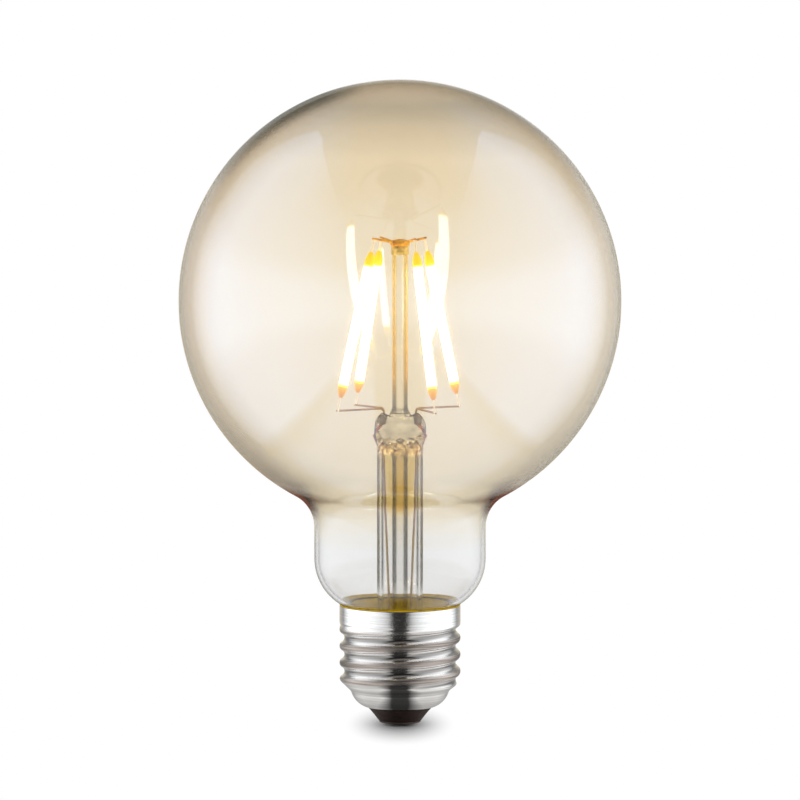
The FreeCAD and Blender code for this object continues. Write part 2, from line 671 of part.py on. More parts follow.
def cap_shell():
    """The rolled metal cap: the right-hand knuckle thread outside, and a plain bore inside."""
    lip = value(LIP_HEIGHT)
    ring = value(RING_HEIGHT)
    foot = value(THREAD_FOOT)
    top = value(THREAD_TOP)
    rim = value(CAP_RIM)
    waves = math.ceil((top - foot) / value("Sizes.thread_pitch") * SAMPLES_PER_PITCH)
    heights = evenly(lip, ring, 3) + evenly(ring, foot, 5) + evenly(foot, top, waves)
    heights += evenly(top, rim, 4) + [rim]
    sections = []
    for step in range(CAP_SECTIONS):
        angle = 360 * step / CAP_SECTIONS
        across = FreeCAD.Vector(math.cos(math.radians(angle)), math.sin(math.radians(angle)), 0)
        section = Part.BSplineCurve()
        points = [across * cap_radius(z, angle) + FreeCAD.Vector(0, 0, z) for z in heights]
        section.interpolate(Points=points, Parameters=heights)
        sections.append(section)
    wall = closed_round(sections).toShape()
    ends = [edge for edge in wall.Edges if edge.BoundBox.ZLength < value("Sizes.fit_gap")]
    shell = Part.Shell([wall] + [Part.Face(Part.Wire([edge])) for edge in ends])
    shell.sewShape()
    blank = doc.addObject("Part::Feature", "cap_blank")
    blank.Shape = Part.Solid(shell)
    clear = "Sizes.cap_sheet"
    inside = turned("cap_inside", [
        ("0", f"{LIP_HEIGHT} - {clear}"),
        (LIP_BORE, f"{LIP_HEIGHT} - {clear}"),
        (LIP_BORE, LIP_SEAT),
        (RING_BORE, RING_SEAT),
        (SHELL_BORE, f"{THREAD_FOOT} + {clear}"),
        (SHELL_BORE, THREAD_TOP),
        (SKIRT_BORE, SKIRT_SEAT),
        (SKIRT_BORE, f"{CAP_RIM} + {clear}"),
        ("0", f"{CAP_RIM} + {clear}"),
    ])
    return cut("cap_shell", blank, inside)


def cap_insulator():
    """The dark glass plug in the cap's lower opening, with a hole for the contact's wire."""
    flange = "(Sizes.insulator_flange_diameter / 2)"
    slope = f"({RING_SEAT} - {LIP_SEAT}) / ({RING_BORE} - {LIP_BORE})"
    hole = "(Sizes.insulator_hole_diameter / 2)"
    throat = f"({LIP_BORE} - Sizes.fit_gap)"
    rest = f"({LIP_SEAT} + Sizes.fit_gap)"
    return turned("cap_insulator", [
        (hole, "Sizes.contact_height"),
        ("Sizes.insulator_foot_diameter / 2", "Sizes.contact_height"),
        (throat, LIP_HEIGHT),
        (throat, rest),
        (flange, f"{rest} + ({flange} - {throat}) * {slope}"),
        (flange, INSULATOR_TOP),
        (hole, INSULATOR_TOP),
    ])


def centre_contact():
    """The contact plate under the insulator, with a flattened dome that meets the holder."""
    plate = "(Sizes.contact_diameter / 2)"
    tip = "(Sizes.contact_tip_diameter / 2)"
    flat = "(Sizes.contact_flat_diameter / 2)"
    under = "(Sizes.contact_height - Sizes.contact_plate)"
    edge = "(Sizes.contact_plate / 2)"
    spread = f"({tip} - {flat})"
    dome = f"({spread}^2 + {under}^2) / (2 * {under})"
    return turned("centre_contact", [
        ("0", "0"),
        (flat, "0", dome, "left"),
        (tip, under),
        (f"{plate} - {edge}", under, edge, "left"),
        (plate, f"{under} + {edge}"),
        (plate, "Sizes.contact_height"),
        ("0", "Sizes.contact_height"),
    ])


def basing_cement():
    """The cement between the cap's skirt and the glass, with a bead showing above the rim."""
    inside = f"({SEAL_NECK} + Sizes.fit_gap)"
    outside = f"({SKIRT_BORE} - Sizes.fit_gap)"
    bead = f"({CREST} - Sizes.fit_gap)"
    curve = "Sizes.neck_curve_radius + Sizes.fit_gap"
    base = f"({SKIRT_SEAT} + Sizes.fit_gap)"
    return turned("basing_cement", [
        (inside, base),
        (outside, base),
        (outside, f"{CAP_RIM} + Sizes.fit_gap"),
        (bead, f"{CAP_RIM} + Sizes.fit_gap"),
        (bead, f"{NECK_FOOT} - {curve_drop(bead, 'Sizes.fit_gap')}", curve, "right"),
        (inside, f"{NECK_FOOT} - {curve_drop(inside, 'Sizes.fit_gap')}"),
    ])


def driver_board():
    """The round circuit board under the glass seal."""
    return place(rod("driver_board", "Sizes.board_diameter / 2", "Sizes.board_thickness"), z=BOARD_BASE)


def under_board(piece, length, width, height, x):
    """Hang a rectangular component under the board, centred at a distance along X."""
    return place(piece, f"{x} - {length} / 2", f"0 - {width} / 2", f"{BOARD_BASE} - {height}")


def bridge_rectifier():
    """The rectifier block on the board's left underside."""
    sizes = ("Sizes.rectifier_length", "Sizes.rectifier_width", "Sizes.rectifier_height")
    return under_board(block("bridge_rectifier", *sizes), *sizes, "0 - Sizes.component_radius")


def driver_chip():
    """The current-control chip on the board's right underside."""
    sizes = ("Sizes.chip_length", "Sizes.chip_width", "Sizes.chip_height")
    return under_board(block("driver_chip", *sizes), *sizes, "Sizes.component_radius")


def smoothing_capacitor():
    """The round can that hangs behind the axis under the board."""
    radius = "(Sizes.capacitor_diameter / 2)"
    can = turned("smoothing_capacitor", [
        ("0", "0"),
        (f"{radius} - Sizes.capacitor_round", "0", "Sizes.capacitor_round", "left"),
        (radius, "Sizes.capacitor_round"),
        (radius, "Sizes.capacitor_length"),
        ("0", "Sizes.capacitor_length"),
    ])
    return place(can, "0", "Sizes.component_radius", f"{BOARD_BASE} - Sizes.capacitor_length")


def fuse_resistor():
    """The fusible resistor on the axis, whose wires run from the board to the centre contact."""
    wire = "(Sizes.resistor_wire_diameter / 2)"
    radius = "(Sizes.resistor_diameter / 2)"
    rounding = "Sizes.resistor_round"
    top = f"({BOARD_BASE} - Sizes.resistor_round)"
    base = f"({top} - Sizes.resistor_length)"
    return turned("fuse_resistor", [
        ("0", "Sizes.contact_height"),
        (wire, "Sizes.contact_height"),
        (wire, base),
        (f"{radius} - {rounding}", base, rounding, "left"),
        (radius, f"{base} + {rounding}"),
        (radius, f"{top} - {rounding}", rounding, "left"),
        (f"{radius} - {rounding}", top),
        (wire, top),
        (wire, BOARD_BASE),
        ("0", BOARD_BASE),
    ])


def shell_lead():
    """The short wire from the board out to the inside of the cap."""
    lead = bent_wire("shell_lead", [
        ("0", "0"),
        ("0", "Sizes.shell_lead_rise"),
        (f"{SHELL_BORE} - Sizes.lead_end_gap - Sizes.shell_lead_radius", "Sizes.shell_lead_rise"),
    ], "Sizes.arm_bend_radius")
    return place(lead, "0", "0 - Sizes.shell_lead_radius", BOARD_TOP, "270")


pieces = [
    glass_envelope(),
    stem_flare(),
    exhaust_tube(),
    support_rod(),
    top_hub(),
    cap_shell(),
    cap_insulator(),
    centre_contact(),
    basing_cement(),
    driver_board(),
    bridge_rectifier(),
    driver_chip(),
    smoothing_capacitor(),
    fuse_resistor(),
    shell_lead(),
]
for side, x in lead_sides():
    pieces += [weld_sleeve(side, x), seal_wire(side, x), outer_lead(side)]
for number in FILAMENTS:
    pieces += [
        light_strip(number),
        strip_pin(f"filament_foot_pin_{number}", number, FOOT_PIN_RADIUS, FOOT_PIN_HEIGHT),
        strip_pin(f"filament_top_pin_{number}", number, TOP_RADIUS, TOP_HEIGHT),
        lead_arm(number),
        anchor(f"anchor_wire_{number}", number, WIRE),
    ]
doc.recompute()

faults = [item.Label for item in doc.Objects if "Invalid" in item.State or "Error" in item.State]
faults += [piece.Label for piece in pieces if piece.Shape.isNull() or not piece.Shape.isValid()]
if faults:
    raise RuntimeError("pieces that did not build: " + ", ".join(faults))

os.makedirs("parts", exist_ok=True)
for piece in pieces:
    piece.Shape.exportStep(f"parts/{piece.Label}.step")
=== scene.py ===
import math

import bpy
from mathutils import Matrix, Vector, noise


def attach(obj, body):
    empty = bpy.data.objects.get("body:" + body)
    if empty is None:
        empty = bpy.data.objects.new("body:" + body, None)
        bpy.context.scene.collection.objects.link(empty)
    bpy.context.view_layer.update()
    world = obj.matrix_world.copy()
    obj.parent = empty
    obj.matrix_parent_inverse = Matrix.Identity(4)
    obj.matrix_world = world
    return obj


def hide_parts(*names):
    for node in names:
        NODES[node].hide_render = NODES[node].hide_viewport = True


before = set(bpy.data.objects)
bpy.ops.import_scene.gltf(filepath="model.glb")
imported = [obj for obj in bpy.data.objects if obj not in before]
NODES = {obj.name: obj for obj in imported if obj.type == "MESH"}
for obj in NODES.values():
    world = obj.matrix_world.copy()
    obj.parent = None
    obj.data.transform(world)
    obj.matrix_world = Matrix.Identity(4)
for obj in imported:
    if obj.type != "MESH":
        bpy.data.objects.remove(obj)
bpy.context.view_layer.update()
SCENE = bpy.context.scene

# Shapes are in millimetres, as in the part's own sheet, and their meshes are made in metres.
# Materials, the studio and the camera are in metres.
MM = 0.001

GLASS_WALL = 0.8
GLOBE_RADIUS = 47.5
GLOBE_CENTRE = 91.5
SHOULDER_CURVE = 8.0
SHOULDER_HEIGHT = 42.71
NECK_RADIUS = 18.45
NECK_CURVE = 11.5
NECK_CURVE_HEIGHT = 36.0
NECK_CURVE_FOOT = 25.48
SEAL_RADIUS = 11.6
SEAL_BORE = 10.8
SEAL_FOOT = 17.4
SEAL_TOP = 25.2

STEM_RADIUS = 4.95
STEM_BORE = 4.05
STEM_AROUND = 96
FLARE_HEIGHT = 24.13
FLARE_CURVE = 5.83
FLARE_BORE_CURVE = 6.73
TUBE_RADIUS = 1.675
ROD_RADIUS = 1.65
ROD_TOP = 103.33

TURNS = {1: 27.5, 2: 132.0, 3: 203.0, 4: 301.0}
TILT = math.radians(13.0)
STRIP_LENGTH = 31.9
STRIP_RADIUS = 1.0
STRIP_TIP = 2.9
STRIP_AROUND = 40
FOOT_RADIUS = 13.8
PIN_LENGTH = 2.5
ARM_HEIGHT = 68.3
FOOT_PIN_HEIGHT = ARM_HEIGHT + 0.35
FOOT_HEIGHT = FOOT_PIN_HEIGHT + PIN_LENGTH * math.cos(TILT)
HUB_SEAT = 103.95
LEAD_SPREAD = 3.5
FOOT_PIN_WIRE = 0.17
TOP_PIN_WIRE = 0.22
ARM_WIRE = 0.22
ANCHOR_WIRE = 0.25
SEAL_WIRE = 0.19

ROOT_RADIUS = 12.0
THREAD_DEPTH = 1.05
THREAD_PITCH = 3.629
THREAD_TOP = 22.3
THREAD_CREST = 15.2
BOWL_FOOT = 3.8
CAP_RIM = 25.9
CAP_AROUND = 224


# Meshes

def mesh_piece(name, points, faces, smooth_below=40.0):
    """A new object from points in millimetres, smooth except at edges sharper than an angle."""
    mesh = bpy.data.meshes.new(name)
    mesh.from_pydata([Vector(point) * MM for point in points], [], faces)
    mesh.validate()
    mesh.shade_smooth()
    mesh.set_sharp_from_angle(angle=math.radians(smooth_below))
    piece = bpy.data.objects.new(name, mesh)
    SCENE.collection.objects.link(piece)
    return piece


def arc(centre_r, centre_z, radius, start, end, steps):
    """Points of an arc in radius and height, between two angles in degrees."""
    angles = [math.radians(start + (end - start) * step / steps) for step in range(steps + 1)]
    return [(centre_r + radius * math.cos(a), centre_z + radius * math.sin(a)) for a in angles]


def line(start, end, steps):
    """Points from start to end, both included."""
    return [tuple(a + (b - a) * step / steps for a, b in zip(start, end)) for step in range(steps + 1)]


def rings_of(outline, around):
    """Points and rings of a turned surface. An outline point is (radius, height) or (x, y, height)."""
    points = []
    rings = []
    for spot in outline:
        across, deep, height = spot if len(spot) == 3 else (spot[0], spot[0], spot[1])
        if across == 0:
            rings.append([len(points)])
            points.append((0.0, 0.0, height))
            continue
        rings.append(list(range(len(points), len(points) + around)))
        for step in range(around):
            angle = 2 * math.pi * step / around
            points.append((across * math.cos(angle), deep * math.sin(angle), height))
    return points, rings


def ring_faces(rings, around, closed):
    """Faces between rings, also from the last to the first in a closed outline, split alike left and right."""
    faces = []
    for low, high in zip(rings, rings[1:] + ([rings[0]] if closed else [])):
        for here in range(around):
            there = (here + 1) % around
            if len(low) == 1 and len(high) == 1:
                continue
            if len(low) == 1:
                faces.append((low[0], high[there], high[here]))
            elif len(high) == 1:
                faces.append((low[here], low[there], high[0]))
            elif around / 4 <= here < 3 * around / 4:
                faces.append((low[here], low[there], high[there], high[here]))
            else:
                faces.append((low[there], high[there], high[here], low[here]))
    return faces


def turned(name, outline, around, closed=False, bend=None):
    """A turned piece. The outline runs up the outside and down the inside; bend may move its points."""
    points, rings = rings_of(outline, around)
    if bend:
        points = [bend(Vector(point)) for point in points]
    return mesh_piece(name, points, ring_faces(rings, around, closed))


def rounded_route(corners, bend, steps=8):
    """A path through corners, each inner corner rounded to a radius."""
    corners = [Vector(corner) for corner in corners]
    path = [corners[0]]
    for before, corner, after in zip(corners, corners[1:], corners[2:]):
        back = (before - corner).normalized()
        ahead = (after - corner).normalized()
        half = back.angle(ahead) / 2
        reach = bend / math.tan(half)
        centre = corner + (back + ahead).normalized() * (bend / math.sin(half))
        first = corner + back * reach - centre
        last = corner + ahead * reach - centre
        path += [centre + first.slerp(last, step / steps) for step in range(steps + 1)]
    return path + [corners[-1]]


# Shares of the radius along and across the axis, from near a wire's tip to its full round.
DOME = [(math.cos(math.radians(a)), math.sin(math.radians(a))) for a in (25, 50, 75, 90)]


def wire_mesh(path, radius, sides=14):
    """Points and faces of a round wire along a path, with domed ends."""
    path = [Vector(point) for point in path]
    along = [(b - a).normalized() for a, b in zip(path, path[1:])]
    along.append(along[-1])
    normal = along[0].orthogonal().normalized()
    start, end = path[0], path[-1]
    stations = [(start + along[0] * radius * (1 - c), along[0], radius * s) for c, s in DOME]
    stations += [(point, (a + b).normalized(), radius) for point, a, b in zip(path[1:-1], along, along[1:])]
    stations += [(end - along[-1] * radius * (1 - c), along[-1], radius * s) for c, s in reversed(DOME)]
    points = [start]
    rings = [[0]]
    for centre, heading, size in stations:
        normal = (normal - heading * normal.dot(heading)).normalized()
        other = heading.cross(normal)
        rings.append(list(range(len(points), len(points) + sides)))
        for step in range(sides):
            angle = 2 * math.pi * step / sides
            points.append(centre + (normal * math.cos(angle) + other * math.sin(angle)) * size)
    rings.append([len(points)])
    points.append(end)
    return points, ring_faces(rings, sides, False)


def joined(name, parts, smooth_below=40.0):
    """One piece from several sets of points and faces."""
    points = []
    faces = []
    for more_points, more_faces in parts:
        shift = len(points)
        points += more_points
        faces += [tuple(corner + shift for corner in face) for face in more_faces]
    return mesh_piece(name, points, faces, smooth_below)


def ball(centre, radii, rings=10, around=18):
    """Points and faces of a ball, or of an egg where the radii differ."""
    outline = [(0, -1.0)]
    outline += [(math.cos(a), math.sin(a)) for a in (math.pi * (s / rings - 0.5) for s in range(1, rings))]
    outline.append((0, 1.0))
    points, loops = rings_of(outline, around)
    centre = Vector(centre)
    points = [centre + Vector((p[0] * radii[0], p[1] * radii[1], p[2] * radii[2])) for p in points]
    return points, ring_faces(loops, around, False)


# Nodes of materials

BLACK = (0.0, 0.0, 0.0, 1.0)
WHITE = (1.0, 1.0, 1.0, 1.0)
SEEN = ("Is Camera Ray", "Is Glossy Ray", "Is Transmission Ray")
GRAIN_DEPTH = 0.0001


def tree_of(name):
    """An empty material and its node tree."""
    material = bpy.data.materials.new(name)
    material.use_nodes = True
    material.node_tree.nodes.clear()
    return material, material.node_tree


def covered(material, shader):
    """The material, with a shader as its surface."""
    add(material.node_tree, "ShaderNodeOutputMaterial", {"Surface": shader.outputs[0]})
    return material


def add(tree, kind, inputs=(), **options):
    """A node, with its options set and each input given a value or a link."""
    node = tree.nodes.new(kind)
    for option, setting in options.items():
        setattr(node, option, setting)
    for socket, given in dict(inputs).items():
        if isinstance(given, bpy.types.NodeSocket):
            tree.links.new(given, node.inputs[socket])
        else:
            node.inputs[socket].default_value = given
    return node


def reckon(tree, operation, *values):
    """One step of arithmetic."""
    return add(tree, "ShaderNodeMath", dict(enumerate(values)), operation=operation).outputs[0]


def times(tree, first, *others):
    """The product of values."""
    for other in others:
        first = reckon(tree, "MULTIPLY", first, other)
    return first


def most(tree, first, *others):
    """The largest of values."""
    for other in others:
        first = reckon(tree, "MAXIMUM", first, other)
    return first


def place_of(tree):
    """The place on the object, in metres."""
    return add(tree, "ShaderNodeTexCoord").outputs["Object"]


def axes_of(tree):
    """The place on the object along X, Y and Z, in metres."""
    return add(tree, "ShaderNodeSeparateXYZ", {"Vector": place_of(tree)}).outputs


def length_of(tree, vector):
    """The length of a vector."""
    return add(tree, "ShaderNodeVectorMath", {0: vector}, operation="LENGTH").outputs["Value"]


def off_axis(tree):
    """The distance from the bulb's axis, in metres."""
    flat = add(tree, "ShaderNodeVectorMath", {0: place_of(tree), 1: (1.0, 1.0, 0.0)}, operation="MULTIPLY")
    return length_of(tree, flat.outputs[0])


def edge_on_of(tree):
    """How far a surface is seen edge on, from 0 face on to 1."""
    return add(tree, "ShaderNodeLayerWeight", {"Blend": 0.5}).outputs["Facing"]


def ray_is(tree, *kinds):
    """1 for rays of these kinds, 0 for others."""
    path = add(tree, "ShaderNodeLightPath")
    return most(tree, *(path.outputs[kind] for kind in kinds))


def speckle(tree, scale, detail=4.0, roughness=0.55):
    """Even noise fixed to the object, with its scale per metre."""
    inputs = {"Vector": place_of(tree), "Scale": scale, "Detail": detail, "Roughness": roughness}
    return add(tree, "ShaderNodeTexNoise", inputs).outputs["Fac"]


def spread(tree, value, low, high, from_low=0.3, from_high=0.7):
    """A value stretched to a range, and kept within it."""
    inputs = {"Value": value, "From Min": from_low, "From Max": from_high, "To Min": low, "To Max": high}
    return add(tree, "ShaderNodeMapRange", inputs).outputs["Result"]


def ramp(tree, value, stops):
    """A colour from a value, through stops of (place, colour)."""
    node = add(tree, "ShaderNodeValToRGB", {"Fac": value})
    points = node.color_ramp.elements
    while len(points) < len(stops):
        points.new(0.5)
    for point, (place, colour) in zip(points, stops):
        point.position = place
        point.color = (*colour, 1.0)
    return node.outputs["Color"]


def mask(tree, value, stops):
    """A share from a value, through stops of (place, share)."""
    return ramp(tree, value, [(place, (share, share, share)) for place, share in stops])


def blend(tree, share, first, second):
    """A colour between two, by a share."""
    inputs = {"Factor": share, "A": first, "B": second}
    return add(tree, "ShaderNodeMix", inputs, data_type="RGBA").outputs["Result"]


def mixed(tree, share, first, second):
    """A shader between two, by a share."""
    return add(tree, "ShaderNodeMixShader", {0: share, 1: first.outputs[0], 2: second.outputs[0]})


def summed(tree, first, second):
    """Two shaders added."""
    return add(tree, "ShaderNodeAddShader", {0: first.outputs[0], 1: second.outputs[0]})


def glowing(tree, colour, strength):
    """A shader that gives light."""
    return add(tree, "ShaderNodeEmission", {"Color": colour, "Strength": strength})


def bumped(tree, value, strength):
    """A normal bumped by a fine grain."""
    inputs = {"Height": value, "Strength": strength, "Distance": GRAIN_DEPTH}
    return add(tree, "ShaderNodeBump", inputs).outputs["Normal"]


# Glass

def glass(name, coat_of, haze, haze_roughness):
    """Clear glass with a thin coat, its cool sheen, a little haze, a glow of painted light, dark edges of painted
    shade, and light let through.
    """
    material, tree = tree_of(name)
    colour, sheen, painted_glow, darkening, darkening_tone = coat_of(tree)
    clear, soft = [add(tree, "ShaderNodeBsdfPrincipled", {
        "Base Color": colour, "Roughness": roughness, "IOR": 1.5, "Transmission Weight": 1.0})
        for roughness in (0.0, haze_roughness)]
    shine = add(tree, "ShaderNodeBsdfGlossy", {"Color": sheen, "Roughness": 0.02})
    coated = summed(tree, mixed(tree, haze, clear, soft), shine)
    # The glow is painted light. The darkening mixed in below holds the coats' painted shade and painted light at
    # their edges.
    clean = summed(tree, coated, glowing(tree, painted_glow, 1.0))
    dark = add(tree, "ShaderNodeBsdfTransparent", {"Color": darkening_tone})
    through = add(tree, "ShaderNodeBsdfTransparent", {"Color": colour})
    passing = ray_is(tree, "Is Shadow Ray", "Is Diffuse Ray")
    return covered(material, mixed(tree, passing, mixed(tree, darkening, clean, dark), through))


def amber_coat(tree):
    """Amber on the globe, darker in a band just below its top and clear down the neck, with darker edges: deeper
    amber seen edge on, and painted shade.

    Gives the glass's colour, its sheen, its glow of painted light, and the share and the tone of its edges of
    painted shade.
    """
    spot = axes_of(tree)
    edge_on = edge_on_of(tree)
    # From 0 on the neck to 1 at the globe's top.
    share = spread(tree, spot["Z"], 0.0, 1.0, 0.039, 0.139)
    # Painted light: the rim is lighter to the right, as if lit from that side.
    painted_right_light = spread(tree, spot["X"], 1.0, 0.55, 0.0, 0.018)

    def at_edge(amount, start, end):
        return spread(tree, edge_on, 0.0, amount, start, end)

    amber = ramp(tree, share, [
        (0.0, (0.91, 0.912, 0.91)), (0.09, (0.92, 0.825, 0.63)), (0.2, (0.93, 0.84, 0.66)),
        (0.45, (0.945, 0.86, 0.7)), (0.83, (0.94, 0.845, 0.68)), (0.9, (0.84, 0.75, 0.6)),
        (0.945, (0.71, 0.655, 0.53)), (1.0, (0.93, 0.84, 0.7))])
    rim_tone = ramp(tree, share, [
        (0.1, (0.56, 0.44, 0.2)), (0.25, (0.72, 0.59, 0.37)), (0.5, (0.8, 0.66, 0.48))])
    # The rim's tint is deeper amber seen edge on, made weaker to the right as painted light.
    rim = blend(tree, times(tree, at_edge(0.85, 0.4, 0.78), painted_right_light), amber, rim_tone)
    colour = blend(tree, spread(tree, share, 0.0, 1.0, 0.02, 0.1), amber, rim)

    # Painted shade: dark reddish brown on the shoulder's edges.
    shoulder = mask(tree, share, [(0.055, 0.0), (0.085, 1.0), (0.115, 1.0), (0.15, 0.0)])
    brown = times(tree, at_edge(0.9, 0.64, 0.84), shoulder)
    # Painted shade: a dark grey streak along the rim's upper left.
    to_left = spread(tree, spot["X"], 1.0, 0.0, -0.016, -0.007)
    high_up = spread(tree, share, 0.0, 1.0, 0.76, 0.92)
    upper_left_shade = times(tree, to_left, high_up, at_edge(0.85, 0.66, 0.84))
    # Painted shade: grey edges down the neck, weaker to the right.
    on_neck = spread(tree, share, 1.0, 0.0, 0.0, 0.05)
    neck_edge_shade = times(tree, on_neck, painted_right_light, at_edge(0.75, 0.76, 0.95))
    # Painted shade: a darker amber-olive band along the round rim, weaker to the right.
    round_rim = mask(tree, share, [(0.1, 0.0), (0.15, 1.0), (0.3, 0.5), (0.6, 0.35), (0.8, 0.1)])
    golden = times(tree, at_edge(0.45, 0.58, 0.88), round_rim, painted_right_light)
    # The painted shade of all the marks above, with its tone by height.
    darkening = most(tree, brown, upper_left_shade, neck_edge_shade, golden)
    darkening_tone = ramp(tree, share, [
        (0.0, (0.4, 0.4, 0.4)), (0.04, (0.4, 0.36, 0.32)), (0.06, (0.36, 0.16, 0.1)),
        (0.13, (0.36, 0.16, 0.1)), (0.18, (0.56, 0.44, 0.22)), (0.35, (0.7, 0.58, 0.36)),
        (0.6, (0.72, 0.63, 0.45)), (0.78, (0.46, 0.46, 0.43))])

    # The sheen is weak in the middle near the top, where it would mirror the neck.
    cool = ramp(tree, share, [(0.02, BLACK[:3]), (0.1, (0.01, 0.03, 0.072)), (1.0, (0.01, 0.03, 0.072))])
    in_middle = spread(tree, reckon(tree, "ABSOLUTE", spot["X"]), 1.0, 0.0, 0.009, 0.018)
    mid_top = times(tree, in_middle, spread(tree, share, 0.0, 0.75, 0.7, 0.75))
    sheen = blend(tree, most(tree, at_edge(1.0, 0.5, 0.75), mid_top), cool, BLACK)
    # Painted light: a faint glow of the strips' light in the coat, midway up the globe.
    painted_glow = ramp(tree, share, [
        (0.1, BLACK[:3]), (0.4, (0.012, 0.0105, 0.009)), (0.6, (0.012, 0.0105, 0.009)), (0.8, BLACK[:3])])
    return colour, sheen, painted_glow, darkening, darkening_tone


def clear_tint(tree):
    """Almost clear face on, with a band of painted amber light up the tube; painted shade, grey to olive, and
    painted golden light where walls are seen edge on; a crust under the head, golden with painted light.

    Gives the same as amber_coat, with no sheen.
    """
    height = axes_of(tree)["Z"]
    edge_on = edge_on_of(tree)
    # From 0 at the contact's tip to 1 at 100 mm.
    scale = spread(tree, height, 0.0, 1.0, 0.0, 0.1)
    on_rod = spread(tree, height, 0.0, 1.0, 0.0675, 0.0695)
    on_pumping_tube = spread(tree, off_axis(tree), 1.0, 0.0, 0.0019, 0.0024)
    thin = most(tree, on_rod, on_pumping_tube)

    uneven = ramp(tree, speckle(tree, 120.0), [(0.3, (0.965, 0.955, 0.935)), (0.7, (0.985, 0.98, 0.965))])
    # Painted light: golden from 48 to 57 mm up, standing for amber light the tube gathers from the globe; greyer
    # over the head.
    tint_and_amber_light = ramp(tree, scale, [
        (0.46, (0.99, 0.98, 0.96)), (0.48, (0.94, 0.855, 0.57)), (0.57, (0.92, 0.845, 0.6)),
        (0.6, (0.86, 0.83, 0.77)), (0.66, (0.88, 0.86, 0.8)), (0.69, (0.965, 0.925, 0.84))])
    face_on = blend(tree, spread(tree, height, 0.0, 1.0, 0.044, 0.048), uneven, tint_and_amber_light)
    # Painted shade, near black to olive, on the tube's edges, and painted golden light of the strips on the rod's
    # edges.
    wall = ramp(tree, scale, [
        (0.27, (0.6, 0.58, 0.5)), (0.31, (0.05, 0.045, 0.037)), (0.45, (0.05, 0.045, 0.035)),
        (0.47, (0.12, 0.075, 0.01)), (0.57, (0.11, 0.075, 0.015)), (0.6, (0.1, 0.09, 0.075)),
        (0.7, (0.2, 0.18, 0.15)), (0.75, (0.6, 0.38, 0.05)), (0.84, (0.74, 0.5, 0.1)),
        (0.95, (0.85, 0.66, 0.28))])
    tube_rim = mask(tree, edge_on, [(0.42, 0.0), (0.6, 1.0), (0.85, 1.0), (1.0, 0.5)])
    rod_rim = mask(tree, edge_on, [(0.05, 0.0), (0.16, 1.0), (0.55, 1.0), (0.75, 0.0)])
    colour = blend(tree, blend(tree, thin, tube_rim, rod_rim), face_on, wall)

    # Painted shade on the tube's edges and painted golden light on the rod's edges, let through in the tones
    # below.
    on_tube = mask(tree, scale, [(0.285, 0.0), (0.31, 1.0), (0.575, 1.0), (0.59, 0.0)])
    thick = spread(tree, thin, 0.85, 0.0, 0.0, 1.0)
    tube_edge_shade = times(tree, on_tube, thick, spread(tree, edge_on, 0.0, 1.0, 0.5, 0.62))
    rod_edge_light = times(tree, on_rod, spread(tree, edge_on, 0.0, 0.8, 0.14, 0.28))
    on_head = mask(tree, scale, [(0.607, 0.0), (0.617, 1.0), (0.655, 1.0), (0.67, 0.0)])
    cloud = times(tree, on_head, spread(tree, speckle(tree, 450.0), 0.0, 0.5, 0.46, 0.66))
    # The crust under the head: rough specks tinted golden as painted light of the strips.
    on_crust = mask(tree, scale, [(0.583, 0.0), (0.588, 1.0), (0.602, 1.0), (0.61, 0.0)])
    crust = times(tree, on_crust, spread(tree, speckle(tree, 900.0), 0.0, 0.5, 0.48, 0.6))
    darkening = most(tree, tube_edge_shade, rod_edge_light, cloud, crust)
    darkening_tone = ramp(tree, scale, [
        (0.3, (0.42, 0.4, 0.34)), (0.45, (0.44, 0.39, 0.29)), (0.47, (0.5, 0.4, 0.16)),
        (0.58, (0.5, 0.42, 0.18)), (0.588, (0.62, 0.42, 0.14)), (0.602, (0.62, 0.44, 0.18)),
        (0.612, (0.6, 0.58, 0.55)), (0.7, (0.6, 0.56, 0.5)), (0.76, (0.91, 0.7, 0.26)),
        (0.86, (0.96, 0.78, 0.36)), (0.98, (0.97, 0.84, 0.5))])
    # Painted glints: specks of glow on the crust.
    painted_glints = times(tree, on_crust, spread(tree, speckle(tree, 1100.0), 0.0, 1.0, 0.47, 0.56))
    painted_glow = blend(tree, painted_glints, BLACK, (0.34, 0.25, 0.1, 1.0))
    return colour, BLACK, painted_glow, darkening, darkening_tone


# Other materials

def metal(name, dark, light, grain, rough, bump=0.2, metallic=1.0, painted_glow=0.0):
    """Worn metal: two tones of the same colour, an uneven polish, and painted light of the strips as an even glow.
    """
    material, tree = tree_of(name)
    tone = ramp(tree, speckle(tree, grain), [(0.3, dark), (0.7, light)])
    body = add(tree, "ShaderNodeBsdfPrincipled", {
        "Base Color": tone, "Metallic": metallic, "Roughness": spread(tree, speckle(tree, grain * 2.3), *rough),
        "Emission Color": tone, "Emission Strength": painted_glow,
        "Normal": bumped(tree, speckle(tree, 900.0, 3.0), bump)})
    return covered(material, body)


def solid(name, dark, light, grain, rough, bump=0.2, bump_size=700.0, painted_glow=0.0):
    """A non-metal surface with two tones, an uneven gloss, a fine grain, and painted light as a glow, for light it
    gets through the glass.
    """
    material, tree = tree_of(name)
    tone = ramp(tree, speckle(tree, grain), [(0.3, dark), (0.7, light)])
    body = add(tree, "ShaderNodeBsdfPrincipled", {
        "Base Color": tone, "Roughness": spread(tree, speckle(tree, grain * 1.7), *rough),
        "Normal": bumped(tree, speckle(tree, bump_size, 3.0), bump), "Specular IOR Level": 0.25,
        "Emission Color": tone, "Emission Strength": painted_glow})
    return covered(material, body)


